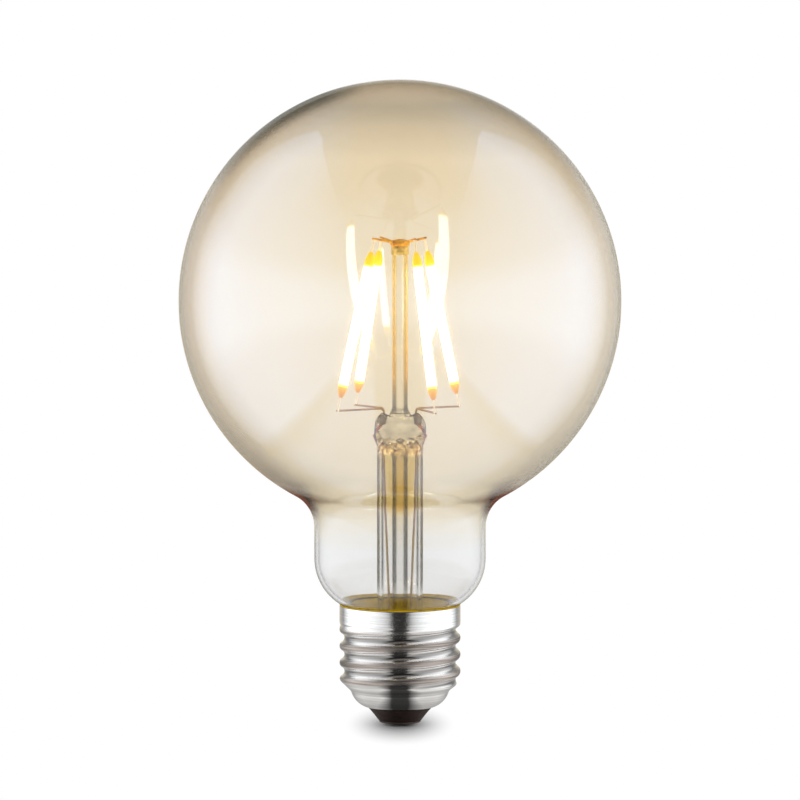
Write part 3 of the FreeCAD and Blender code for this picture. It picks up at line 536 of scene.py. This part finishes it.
def lit_phosphor(name, power):
    """The coated strip: white-hot along its length, yellow and then orange at its tips."""
    material, tree = tree_of(name)
    along = add(tree, "ShaderNodeAttribute", attribute_name="along").outputs["Fac"]
    tone = ramp(tree, along, [
        (0.0, (0.95, 0.46, 0.03)), (0.05, (1.0, 0.55, 0.01)), (0.08, (1.0, 0.68, 0.02)),
        (0.1, (1.0, 0.85, 0.62)), (0.88, (1.0, 0.85, 0.62)), (0.91, (1.0, 0.72, 0.0)), (1.0, (1.0, 0.64, 0.0))])
    lit = mask(tree, along, [(0.0, 0.075), (0.07, 0.12), (0.1, 1.0), (0.89, 1.0), (0.91, 0.17), (1.0, 0.15)])
    body = add(tree, "ShaderNodeBsdfPrincipled", {
        "Base Color": tone, "Roughness": 0.55, "Emission Color": tone,
        "Emission Strength": times(tree, lit, power), "Normal": bumped(tree, speckle(tree, 1500.0), 0.2)})
    return covered(material, body)


def hub_metal(name):
    """An orange disc on an olive-gold collar, both with a glow of painted light standing for the strips' light."""
    material, tree = tree_of(name)
    grain = speckle(tree, 900.0)
    disc = ramp(tree, grain, [(0.35, (0.55, 0.2, 0.0)), (0.65, (1.0, 0.6, 0.02))])
    collar = ramp(tree, grain, [(0.35, (0.4, 0.26, 0.04)), (0.65, (0.9, 0.72, 0.25))])
    tone = blend(tree, spread(tree, axes_of(tree)["Z"], 0.0, 1.0, 0.1031, 0.1034), collar, disc)
    # The emission is painted light, standing for the strips' light.
    body = add(tree, "ShaderNodeBsdfPrincipled", {
        "Base Color": tone, "Metallic": 0.6, "Roughness": spread(tree, grain, 0.25, 0.5),
        "Emission Color": tone, "Emission Strength": 0.4, "Normal": bumped(tree, grain, 0.3)})
    return covered(material, body)


def cap_metal(name):
    """Bright nickel plate, pitted and softly polished, with painted shade in the thread's root, worn brown along
    its crests.
    """
    material, tree = tree_of(name)
    radius = off_axis(tree)
    height = axes_of(tree)["Z"]
    crest = spread(tree, radius, 0.0, 1.0, 0.01272, 0.01298)
    worn = times(tree, crest, spread(tree, height, 1.0, 0.0, 0.0205, 0.0215))
    # Painted shade: the plate turns dark grey in the thread's root.
    root = spread(tree, radius, 1.0, 0.0, 0.01202, 0.01222)
    painted_root_shade = times(tree, root, spread(tree, height, 0.0, 1.0, 0.0088, 0.0094))
    stretched = add(tree, "ShaderNodeMapping", {"Vector": place_of(tree), "Scale": (60.0, 60.0, 4200.0)})
    marks = add(tree, "ShaderNodeTexNoise", {"Vector": stretched.outputs[0], "Scale": 1.0, "Detail": 5.0})
    marks = marks.outputs["Fac"]
    pits = speckle(tree, 1500.0, 5.0, 0.7)
    bright = ramp(tree, marks, [(0.35, (0.69, 0.68, 0.67)), (0.6, (0.86, 0.85, 0.84))])
    plate = blend(tree, painted_root_shade, bright, (0.3, 0.29, 0.28, 1.0))
    bare = ramp(tree, marks, [(0.38, (0.2, 0.17, 0.15)), (0.58, (0.48, 0.425, 0.39))])
    gloss = spread(tree, pits, 0.13, 0.27, 0.5, 0.75)
    body = add(tree, "ShaderNodeBsdfPrincipled", {
        "Base Color": blend(tree, worn, plate, bare), "Metallic": 1.0,
        "Roughness": reckon(tree, "MULTIPLY_ADD", worn, 0.25, gloss),
        "Normal": bumped(tree, reckon(tree, "ADD", marks, pits), 0.08)})
    return covered(material, body)


# The glow in these looks is painted light, standing for the strips' light.
METALS = {
    "nickel_wire": dict(
        dark=(0.38, 0.22, 0.06), light=(0.58, 0.37, 0.13), grain=900.0, rough=(0.35, 0.55), metallic=0.6,
        painted_glow=0.22),
    # Painted light: the strips' pins as a brighter, glowing copy of the nickel wire.
    "painted_lit_pin": dict(
        dark=(0.8, 0.7, 0.54), light=(0.95, 0.88, 0.74), grain=900.0, rough=(0.3, 0.5), metallic=0.4, painted_glow=0.6),
    "sleeve_metal": dict(
        dark=(0.42, 0.38, 0.34), light=(0.6, 0.56, 0.5), grain=800.0, rough=(0.3, 0.5), bump=0.3),
    "seal_metal": dict(
        dark=(0.75, 0.36, 0.26), light=(0.92, 0.56, 0.45), grain=700.0, rough=(0.25, 0.5)),
    "tinned_lead": dict(
        dark=(0.4, 0.24, 0.06), light=(0.6, 0.4, 0.14), grain=700.0, rough=(0.3, 0.5), metallic=0.5, painted_glow=0.1),
    # The contact's dark brown is partly its own dull finish and partly painted shade, as it sits in the bulb's own
    # shadow.
    "contact_metal": dict(
        dark=(0.09, 0.062, 0.052), light=(0.18, 0.13, 0.115), grain=600.0, rough=(0.45, 0.65), bump=0.3,
        metallic=0.5),
}
SOLIDS = {
    "black_glass": dict(
        dark=(0.026, 0.014, 0.011), light=(0.052, 0.03, 0.024), grain=300.0, rough=(0.5, 0.7), bump_size=500.0),
    # Its glow is painted light, standing for light that reaches it through the glass.
    "cement": dict(
        dark=(0.36, 0.22, 0.0), light=(0.6, 0.39, 0.01), grain=500.0, rough=(0.6, 0.9), bump=0.7,
        bump_size=900.0, painted_glow=0.42),
    "circuit_board": dict(
        dark=(0.03, 0.16, 0.08), light=(0.05, 0.24, 0.12), grain=400.0, rough=(0.35, 0.5)),
    "moulded_black": dict(
        dark=(0.02, 0.02, 0.022), light=(0.045, 0.045, 0.05), grain=900.0, rough=(0.5, 0.7)),
    "capacitor_can": dict(
        dark=(0.1, 0.1, 0.12), light=(0.2, 0.2, 0.23), grain=300.0, rough=(0.25, 0.4)),
    "resistor_coat": dict(
        dark=(0.2, 0.3, 0.36), light=(0.3, 0.42, 0.48), grain=500.0, rough=(0.35, 0.5)),
}
PAINT = {
    "coated_glass": glass("coated_glass", amber_coat, haze=0.04, haze_roughness=0.22),
    "clear_glass": glass("clear_glass", clear_tint, haze=0.02, haze_roughness=0.2),
    "phosphor": lit_phosphor("phosphor", power=5.5),
    "hub_metal": hub_metal("hub_metal"),
    "cap_metal": cap_metal("cap_metal"),
    **{name: metal(name, **look) for name, look in METALS.items()},
    **{name: solid(name, **look) for name, look in SOLIDS.items()},
}


def finish_piece(piece, paint, slot, *replaced):
    """Give a piece its material, fix it to the bulb, and let it stand for CAD nodes. The slot is not used."""
    piece.data.materials.append(PAINT[paint])
    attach(piece, "root")
    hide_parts(*replaced)


# Glass globe

def globe_outline():
    """Up the outside from the seal to the top of the globe, then down the inside."""
    ease = 0.7
    neck_in = NECK_RADIUS - NECK_CURVE
    shoulder_out = NECK_RADIUS + SHOULDER_CURVE
    neck_bore = NECK_RADIUS - GLASS_WALL
    bore = GLOBE_RADIUS - GLASS_WALL
    low = math.degrees(math.asin((NECK_CURVE_FOOT - NECK_CURVE_HEIGHT) / NECK_CURVE))
    low_inside = -math.degrees(math.acos((SEAL_BORE - neck_in) / (NECK_CURVE - GLASS_WALL)))
    join = math.degrees(math.atan2(GLOBE_CENTRE - SHOULDER_HEIGHT, -shoulder_out))
    straight = (NECK_CURVE_HEIGHT + ease, SHOULDER_HEIGHT - ease)
    outside = line((SEAL_RADIUS, SEAL_FOOT), (SEAL_RADIUS, SEAL_TOP), 4)
    outside += arc(neck_in, NECK_CURVE_HEIGHT, NECK_CURVE, low, 0, 20)
    outside += line((NECK_RADIUS, straight[0]), (NECK_RADIUS, straight[1]), 4)
    outside += arc(shoulder_out, SHOULDER_HEIGHT, SHOULDER_CURVE, 180, join, 12)[:-1]
    outside += arc(0, GLOBE_CENTRE, GLOBE_RADIUS, join - 180, 90, 120)[:-1] + [(0, GLOBE_CENTRE + GLOBE_RADIUS)]
    inside = [(0, GLOBE_CENTRE + bore)] + arc(0, GLOBE_CENTRE, bore, 90, join - 180, 120)[1:]
    inside += arc(shoulder_out, SHOULDER_HEIGHT, SHOULDER_CURVE + GLASS_WALL, join, 180, 12)[1:]
    inside += line((neck_bore, straight[1]), (neck_bore, straight[0]), 4)
    inside += arc(neck_in, NECK_CURVE_HEIGHT, NECK_CURVE - GLASS_WALL, 0, low_inside, 20)
    inside += line((SEAL_BORE, SEAL_TOP), (SEAL_BORE, SEAL_FOOT), 4)
    return outside + inside


globe = turned("globe_glass", globe_outline(), 240, closed=True)
finish_piece(globe, "coated_glass", "coated_glass", "glass_envelope")


# Stem, pressed head, exhaust tube and rod, fused into one glass piece

HEAD = [
    (4.95, 4.95, 58.6), (4.98, 4.8, 59.4), (5.1, 4.4, 60.3), (5.35, 3.8, 61.2), (5.52, 3.3, 62.2),
    (5.58, 3.05, 63.3), (5.56, 2.95, 64.4), (5.46, 2.9, 65.2), (5.22, 2.82, 65.9), (4.85, 2.7, 66.35),
    (4.4, 2.55, 66.6), (3.9, 2.45, 66.72), (3.3, 2.4, 66.78), (2.75, 2.35, 66.82), (2.5, 2.3, 66.95),
    (2.25, 2.15, 67.3), (1.98, 1.95, 67.8), (1.76, 1.75, 68.4),
]


def stem_outline():
    """Up the exhaust tube, over the hollow's top, down the stem's bore, and up its outside to the rod's top."""
    straight_foot = FLARE_HEIGHT + 0.6
    tube = [(0, 14.7), (0.7, 14.9), (1.3, 15.4), (1.62, 16.2)]
    tube += line((TUBE_RADIUS, 16.8), (TUBE_RADIUS, 57.6), 20)
    hollow = [(1.75, 58.6), (2.0, 59.2), (2.5, 59.6), (3.0, 59.7), (3.5, 59.5), (3.85, 59.0), (4.02, 58.2)]
    bore = line((STEM_BORE, 57.4), (STEM_BORE, straight_foot), 18)
    flare = arc(STEM_BORE + FLARE_BORE_CURVE, FLARE_HEIGHT, FLARE_BORE_CURVE, 180, 262, 12)
    flare += [(10.6, SEAL_FOOT), (10.78, SEAL_FOOT), (10.78, 18.25)]
    outside = arc(STEM_RADIUS + FLARE_CURVE, FLARE_HEIGHT, FLARE_CURVE, 268, 180, 12)
    outside += line((STEM_RADIUS, straight_foot), (STEM_RADIUS, 57.8), 18)
    rod = [(1.66, 69.2)] + line((ROD_RADIUS, 70.2), (ROD_RADIUS, 102.8), 30)
    rod += [(1.55, 103.25), (1.3, ROD_TOP), (0, ROD_TOP)]
    return tube + hollow + bore + flare + outside + HEAD + rod


def press_shape(point):
    """An uneven skin and ears round the sleeves on the head, and a hollow that rises beside the exhaust tube."""
    across = math.hypot(point.x, point.y)
    head_foot, head_top = 59.5, 66.9
    hollow_foot, hollow_top = 58.0, 59.8
    if head_foot < point.z < head_top and across > 2.4:
        pressed = min(1.0, (point.z - head_foot) / 1.5) * (1.0 + 0.06 * noise.noise(point * 0.55))
        point.x *= 1.0 + 0.035 * (pressed - 1.0) + 0.03 * noise.noise(point * 0.8)
        point.y *= pressed if pressed > 1.0 else 1.0 + 0.12 * noise.noise(point * 0.7)
        ear = math.exp(-((abs(point.x) - 3.7) / 0.9) ** 2 - (point.y / 1.7) ** 2)
        point.z += 0.55 * ear * max(0.0, (point.z - 64.0) / 2.0)
    elif hollow_foot < point.z < hollow_top and 1.7 < across < 4.04:
        rise = min(1.0, (point.z - hollow_foot) / 1.6)
        point.z += rise * (2.4 * (point.x / across) ** 2 + 0.3 * noise.noise(point * 1.9))
    return point


def stem_piece():
    """The turned stem, and the bubble where the pumping tube opens, as a hollow in the glass."""
    points, rings = rings_of(stem_outline(), STEM_AROUND)
    points = [press_shape(Vector(point)) for point in points]
    hollow, faces = ball((0.0, -1.5, 61.3), (0.95, 0.75, 0.62), 14, 28)
    hollow = [point + Vector((0.0, 0.0, 0.08 * noise.noise(point * 2.0))) for point in hollow]
    inward = [tuple(reversed(face)) for face in faces]
    return joined("stem_glass", [(points, ring_faces(rings, STEM_AROUND, False)), (hollow, inward)], 60.0)


finish_piece(stem_piece(), "clear_glass", "clear_glass", "stem_flare", "exhaust_tube", "support_rod")


# Light strips with their pins, arms and anchors

def around_axis(radius, number, height):
    """A point at a radius in the upright plane of a light strip."""
    turn = math.radians(TURNS[number])
    return Vector((radius * math.cos(turn), radius * math.sin(turn), height))


def strip_matrix(number):
    """The place of a light strip: its foot at the origin, its length along Z."""
    foot = Matrix.Translation(around_axis(FOOT_RADIUS, number, FOOT_HEIGHT))
    return foot @ Matrix.Rotation(math.radians(TURNS[number]), 4, "Z") @ Matrix.Rotation(-TILT, 4, "Y")


def strip_outline():
    """A bullet at each end and a plain round body."""
    bullet = [(0, 0), (0.3, 0.02), (0.42, 0.12)]
    bullet += [(0.45 + 0.55 * math.sin(step * math.pi / 20), 0.2 + 0.22 * step) for step in range(11)]
    body = line((STRIP_RADIUS, STRIP_TIP), (STRIP_RADIUS, STRIP_LENGTH - STRIP_TIP), 30)
    return bullet + body + [(r, STRIP_LENGTH - z) for r, z in reversed(bullet)]


def light_strip(number):
    """A strip of lit phosphor, with the share of its length kept on each point."""
    points, rings = rings_of(strip_outline(), STRIP_AROUND)
    place = strip_matrix(number)
    placed = [place @ Vector(point) for point in points]
    strip = mesh_piece(f"light_strip_{number}", placed, ring_faces(rings, STRIP_AROUND, False), 60.0)
    share = strip.data.attributes.new("along", "FLOAT", "POINT")
    share.data.foreach_set("value", [point[2] / STRIP_LENGTH for point in points])
    finish_piece(strip, "phosphor", "phosphor", f"filament_{number}")


def strip_pins(number):
    """The wire pins at both ends of a strip, welded to arm and anchor."""
    place = strip_matrix(number)

    def at(height):
        return place @ Vector((0, 0, height))

    foot = wire_mesh(line(at(0.3), at(-PIN_LENGTH - 0.35), 4), FOOT_PIN_WIRE)
    foot_weld = ball(at(-PIN_LENGTH - 0.3), (0.32, 0.32, 0.3))
    foot_pin = joined(f"strip_foot_pin_{number}", [foot, foot_weld])
    finish_piece(foot_pin, "painted_lit_pin", "nickel_wire", f"filament_foot_pin_{number}")
    top = STRIP_LENGTH + PIN_LENGTH
    head = wire_mesh(line(at(STRIP_LENGTH - 0.3), at(top + 0.2), 4), TOP_PIN_WIRE)
    top_weld = ball(at(top), (0.34, 0.34, 0.3))
    top_pin = joined(f"strip_top_pin_{number}", [head, top_weld])
    finish_piece(top_pin, "painted_lit_pin", "nickel_wire", f"filament_top_pin_{number}")


def lead_arm(number):
    """A wire out of a sleeve, bent over and run out under the strip's foot pin."""
    turn = math.radians(TURNS[number])
    base = Vector((math.copysign(LEAD_SPREAD, math.cos(turn)), math.copysign(0.32, math.sin(turn)), 65.4))
    corner = Vector((base.x, base.y, ARM_HEIGHT))
    end = around_axis(FOOT_RADIUS + PIN_LENGTH * math.sin(TILT) + 0.5, number, ARM_HEIGHT)
    arm = mesh_piece(f"arm_{number}", *wire_mesh(rounded_route([base, corner, end], 0.9), ARM_WIRE))
    finish_piece(arm, "nickel_wire", "nickel_wire", f"lead_arm_{number}")


def anchor_wire(number):
    """A wire from the hub out to the top pin of a strip."""
    inner = around_axis(0.9, number, HUB_SEAT)
    outer = around_axis(6.5, number, HUB_SEAT + 1.08)
    anchor = mesh_piece(f"anchor_{number}", *wire_mesh(line(inner, outer, 6), ANCHOR_WIRE))
    finish_piece(anchor, "hub_metal", "nickel_wire", f"anchor_wire_{number}")


for strip_number in TURNS:
    light_strip(strip_number)
    strip_pins(strip_number)
    lead_arm(strip_number)
    anchor_wire(strip_number)


# Hub, sleeves and leads

hub = turned("hub", [
    (1.68, 101.46), (1.9, 101.46), (1.95, 101.6), (1.95, 102.2), (1.84, 102.35), (1.84, 102.5), (1.95, 102.65),
    (1.9, 103.1), (1.8, 103.3), (1.95, 103.4), (2.1, 103.6), (2.17, 103.85), (2.12, 104.1), (1.95, 104.35),
    (1.6, 104.58), (1.1, 104.74), (0.5, 104.83), (0, 104.86), (0, 103.4), (1.68, 103.4)], 56, closed=True)
finish_piece(hub, "hub_metal", "nickel_wire", "top_hub")

SLEEVE = [
    (0, 64.9), (0.6, 64.92), (0.74, 65.05), (0.8, 65.4), (0.85, 66.0), (0.78, 66.5), (0.84, 66.9), (0.7, 67.08),
    (0, 67.1),
]
for side, sign in (("left", -1), ("right", 1)):
    x = sign * LEAD_SPREAD
    sleeve = turned(f"sleeve_{side}", SLEEVE, 28, bend=lambda point, x=x: point + Vector((x, 0.0, 0.0)))
    finish_piece(sleeve, "sleeve_metal", "nickel_wire", f"weld_sleeve_{side}")
    strands = []
    for lean in (-1, 1):
        top = Vector((x + lean * 0.16, lean * 0.12, 65.1))
        fork = Vector((x + lean * 0.2, lean * 0.16, 62.4))
        foot = Vector((x + sign * 0.3 + lean * 0.22, lean * 0.2, 58.7))
        strands.append(wire_mesh(rounded_route([top, fork, foot], 3.0), SEAL_WIRE))
    finish_piece(joined(f"seal_strands_{side}", strands), "seal_metal", "seal_metal", f"seal_wire_{side}")


# Cap

def knuckle(turns):
    """The rounded thread's height, 1 at a crest and 0 at a root, some turns past a crest."""
    quarter = THREAD_PITCH / 4
    bow = (quarter ** 2 + (THREAD_DEPTH / 2) ** 2) / THREAD_DEPTH
    away = abs((turns + 0.5) % 1.0 - 0.5) * THREAD_PITCH
    if away < quarter:
        return 1 - (bow - math.sqrt(bow ** 2 - away ** 2)) / THREAD_DEPTH
    return (bow - math.sqrt(bow ** 2 - (2 * quarter - away) ** 2)) / THREAD_DEPTH


def smooth_step(low, high, now):
    """A smooth rise from 0 at low to 1 at high."""
    share = min(1.0, max(0.0, (now - low) / (high - low)))
    return share * share * (3 - 2 * share)


def bowl_radius(height):
    """The radius of the rounded bowl under the thread, and of the thread's root above it."""
    curve, curve_in, curve_height = 4.759, 5.966, 8.445
    edge, edge_height = 10.5, 7.0
    if height < edge_height:
        return curve_in + math.sqrt(curve ** 2 - (height - curve_height) ** 2)
    return edge + (ROOT_RADIUS - edge) * smooth_step(6.9, 9.0, height)


def cap_radius(height, turn):
    """The cap's outer radius at a height and a share of a turn."""
    rolled = knuckle((height - THREAD_CREST) / THREAD_PITCH - turn) * smooth_step(7.6, 10.2, height)
    skirt = smooth_step(THREAD_TOP - 1.8, THREAD_TOP, height)
    return bowl_radius(height) + THREAD_DEPTH * (rolled + (1 - rolled) * skirt)


# Over the rim and down the inside of the cap, in radius and height.
CAP_INSIDE = [
    (13.01, 25.86), (12.9, CAP_RIM), (12.78, 25.86), (12.75, 25.7), (12.75, 23.4), (11.7, 22.3), (11.7, 9.2),
    (10.2, 7.0), (8.8, 5.0), (6.7, 4.1), (6.7, 3.85),
]


def cap_piece():
    """The rolled shell: the helical thread outside, a plain bore inside."""
    steps = 170
    wall_height = CAP_RIM - 0.12 - BOWL_FOOT
    rings = []
    for height in (BOWL_FOOT + wall_height * step / steps for step in range(steps + 1)):
        rings.append([(cap_radius(height, step / CAP_AROUND), height) for step in range(CAP_AROUND)])
    rings += [[spot] * CAP_AROUND for spot in CAP_INSIDE]
    points = []
    loops = []
    for ring in rings:
        loops.append(list(range(len(points), len(points) + CAP_AROUND)))
        for step, (radius, height) in enumerate(ring):
            angle = 2 * math.pi * step / CAP_AROUND
            points.append((radius * math.cos(angle), radius * math.sin(angle), height))
    return mesh_piece("screw_cap", points, ring_faces(loops, CAP_AROUND, True), 50.0)


finish_piece(cap_piece(), "cap_metal", "cap_metal", "cap_shell")

insulator = turned("insulator", [
    (0.9, 0.9), (4.4, 0.9), (4.66, 0.98), (4.8, 1.15), (5.6, 2.2), (6.3, 3.05), (6.8, 3.6), (6.88, 3.74),
    (6.68, 3.78), (6.68, 4.12), (8.2, 4.81), (8.2, 5.9), (0.9, 5.9)], 96, closed=True)
finish_piece(insulator, "black_glass", "black_glass", "cap_insulator")

contact = turned("contact", [
    (0, 0), (1.1, 0.01), (1.35, 0.06), (1.65, 0.25), (1.85, 0.45), (2.0, 0.5), (4.2, 0.5), (4.42, 0.56),
    (4.5, 0.7), (4.5, 0.88), (0, 0.88)], 72)
finish_piece(contact, "contact_metal", "contact_metal", "centre_contact")


def lumpy(point):
    """Cement is uneven where its bead shows at the rim."""
    if point.z > 25.8:
        point.z += noise.noise(point * 0.9) * 0.1 + noise.noise(point * 2.3) * 0.05
    return point


cement = turned("cement_ring", [
    (11.62, 18.0), (11.68, 18.0), (11.68, 22.3), (12.7, 23.42), (12.73, 25.92), (13.0, 25.95), (13.02, 26.1),
    (12.85, 26.12), (12.5, 25.85), (12.1, 25.62), (11.8, 25.5), (11.62, 25.4)], 160, closed=True, bend=lumpy)
finish_piece(cement, "cement", "cement", "basing_cement")

# CAD nodes that are shown as they are
PLAIN = {
    "driver_board": "circuit_board", "bridge_rectifier": "moulded_black", "driver_chip": "moulded_black",
    "smoothing_capacitor": "capacitor_can", "fuse_resistor": "resistor_coat", "shell_lead": "tinned_lead",
    "outer_lead_left": "tinned_lead", "outer_lead_right": "tinned_lead",
}
for node, paint in PLAIN.items():
    NODES[node].data.materials.clear()
    NODES[node].data.materials.append(PAINT[paint])


# Studio: floor, backdrop, two side panels and a dim room

def sheet_object(name, corners, material, unseen_by=()):
    """A flat sheet from corners in metres, unseen by some kinds of rays."""
    mesh = bpy.data.meshes.new(name)
    mesh.from_pydata(corners, [], [tuple(range(len(corners)))])
    mesh.materials.append(material)
    sheet = bpy.data.objects.new(name, mesh)
    SCENE.collection.objects.link(sheet)
    for rays in unseen_by:
        setattr(sheet, f"visible_{rays}", False)
    return sheet


def lit_paper(tree, grey, share):
    """A grey surface that turns to plain white light, by a share."""
    surface = add(tree, "ShaderNodeBsdfDiffuse", {"Color": (grey, grey, grey, 1.0)})
    return mixed(tree, share, surface, glowing(tree, WHITE, 1.0))


def white_paper():
    """White to the eye and in glass and metal; a grey surface to other light."""
    material, tree = tree_of("white_paper")
    return covered(material, lit_paper(tree, 0.35, ray_is(tree, *SEEN)))


def floor_paper():
    """White paper with a grey patch where the bulb stands: it shows the bulb's real soft shadow and darkens it
    further as painted shadow.
    """
    material, tree = tree_of("floor_paper")
    # Painted shadow: a grey ellipse round the bulb's foot fades out to plain white.
    near = add(tree, "ShaderNodeMapping", {"Vector": place_of(tree), "Scale": (82.0, 30.0, 1.0)}).outputs[0]
    inputs = {"Value": length_of(tree, near), "From Min": 0.1, "From Max": 1.0}
    far = add(tree, "ShaderNodeMapRange", inputs, interpolation_type="SMOOTHSTEP").outputs["Result"]
    return covered(material, lit_paper(tree, 0.66, times(tree, far, ray_is(tree, *SEEN))))


def near_paper():
    """The white ground close by, as metal and glass mirror it, with a dark wedge to the front, a painted shadow
    round the bulb's foot, and dimmer behind it.
    """
    material, tree = tree_of("near_paper")
    spot = axes_of(tree)
    aside = reckon(tree, "ABSOLUTE", spot["X"])
    deep = spot["Y"]
    ahead = spread(tree, deep, 0.22, 0.0, -0.22, 0.0)
    wedge = reckon(tree, "MULTIPLY_ADD", ahead, -0.2, aside)
    stripe = spread(tree, wedge, 0.06, 1.0, 0.001, 0.006)
    # Painted shadow: the mirrored ground is dimmer round the bulb's foot.
    painted_shadow = spread(tree, length_of(tree, place_of(tree)), 0.5, 1.0, 0.008, 0.022)
    behind = spread(tree, deep, 1.0, 0.45, -0.002, 0.014)
    shine = glowing(tree, (1.0, 0.985, 0.965, 1.0), times(tree, stripe, painted_shadow, behind))
    wide = spread(tree, aside, 0.0, 1.0, 0.055, 0.09)
    front = spread(tree, deep, 1.0, 0.0, -0.2, -0.1)
    back = spread(tree, deep, 0.0, 1.0, 0.035, 0.095)
    gone = add(tree, "ShaderNodeBsdfTransparent")
    return covered(material, mixed(tree, most(tree, front, back, wide), shine, gone))


def panel_light(strength):
    """A slightly cool studio panel, soft along its front edge, fading out to the back and weaker low down."""
    material, tree = tree_of("panel_light")
    spot = axes_of(tree)
    raised = spread(tree, spot["Z"], 0.0, 0.4, 0.6, 1.9)
    back = spread(tree, reckon(tree, "SUBTRACT", spot["Y"], raised), strength, 0.25, 0.25, 1.0)
    low = spread(tree, spot["Z"], 0.0, 1.0, -1.05, -0.85)
    slope = spread(tree, spot["Z"], -3.0, -1.9, -0.25, 0.9)
    lean = spread(tree, spot["Z"], 0.0, 0.5, 0.9, 1.46)
    front = reckon(tree, "ADD", slope, lean)
    near_edge = spread(tree, reckon(tree, "SUBTRACT", spot["Y"], front), 0.0, 1.0, -0.2, 2.8)
    return covered(material, glowing(tree, (0.96, 0.98, 1.0, 1.0), times(tree, low, near_edge, back)))


def room_world():
    """White behind the bulb, dark and warm high up through the glass, and a dim room in what mirrors it."""
    world = bpy.data.worlds.new("room")
    world.use_nodes = True
    tree = world.node_tree
    tree.nodes.clear()
    heading = add(tree, "ShaderNodeTexCoord").outputs["Generated"]
    heading = add(tree, "ShaderNodeSeparateXYZ", {"Vector": heading}).outputs
    behind = spread(tree, heading["Y"], 0.0, 0.4, 0.0, 0.6)
    overhead = spread(tree, heading["Z"], 1.0, 0.5, 0.1, 0.3)
    above = spread(tree, heading["Z"], 0.03, 0.22, 0.3, 0.8)
    dimmed = reckon(tree, "MULTIPLY_ADD", behind, overhead, above)
    straight = spread(tree, heading["Y"], 0.0, 1.0, 0.84, 0.95)
    level = reckon(tree, "MULTIPLY_ADD", straight, 0.2, dimmed)
    tone = blend(tree, straight, (1.0, 0.98, 0.95, 1.0), (1.0, 0.92, 0.74, 1.0))
    high_up = spread(tree, heading["Z"], 0.0, 1.0, 0.15, 0.35)
    far_wall = blend(tree, high_up, WHITE, (0.3, 0.22, 0.1, 1.0))
    mirrored = add(tree, "ShaderNodeBackground", {"Color": tone, "Strength": level})
    through = add(tree, "ShaderNodeBackground", {"Color": far_wall, "Strength": 1.0})
    white = add(tree, "ShaderNodeBackground", {"Color": WHITE, "Strength": 1.0})
    room = mixed(tree, ray_is(tree, "Is Transmission Ray"), mirrored, through)
    sky = mixed(tree, ray_is(tree, "Is Camera Ray"), room, white)
    add(tree, "ShaderNodeOutputWorld", {"Surface": sky.outputs[0]})
    return world


floor = sheet_object(
    "floor", [(-0.3, -0.3, 0), (0.3, -0.3, 0), (0.3, 1.6, 0), (-0.3, 1.6, 0)], floor_paper(), ["glossy"])
floor.location.z = -0.00002
near_ground = sheet_object(
    "near_ground", [(-0.1, -0.22, 0), (0.1, -0.22, 0), (0.1, 0.1, 0), (-0.1, 0.1, 0)], near_paper(),
    ["camera", "transmission", "diffuse", "shadow"])
near_ground.location.z = -0.00004
sheet_object(
    "backdrop", [(-0.26, 1.6, -0.01), (0.26, 1.6, -0.01), (0.26, 1.6, 0.36), (-0.26, 1.6, 0.36)], white_paper())

# Corners of a panel in depth and height, as its image on the globe shows them.
PANEL = [(-3.0, -1.05), (-3.0, -0.25), (-1.9, 0.9), (-1.375, 1.46), (0.74, 1.95), (1.0, 1.9), (1.0, -1.05)]
panel_paint = panel_light(1.7)
for side, x in (("left", -0.9), ("right", 0.9)):
    sheet_object(
        f"panel_{side}", [(x, y, z) for y, z in PANEL], panel_paint, ["camera", "transmission", "shadow"])

SCENE.world = room_world()


# Camera

ELEVATION = math.radians(4.2)
DISTANCE = 0.993
AIM = Vector((0.0, 0.0, 0.0702))
lens = bpy.data.cameras.new("camera")
lens.lens = 207.8
lens.sensor_width = 36.0
camera = bpy.data.objects.new("camera", lens)
camera.location = AIM + Vector((0.0, -math.cos(ELEVATION), math.sin(ELEVATION))) * DISTANCE
camera.rotation_euler = (math.pi / 2 - ELEVATION, 0.0, 0.0)
SCENE.collection.objects.link(camera)
SCENE.camera = camera
SCENE.view_settings.view_transform = "Standard"
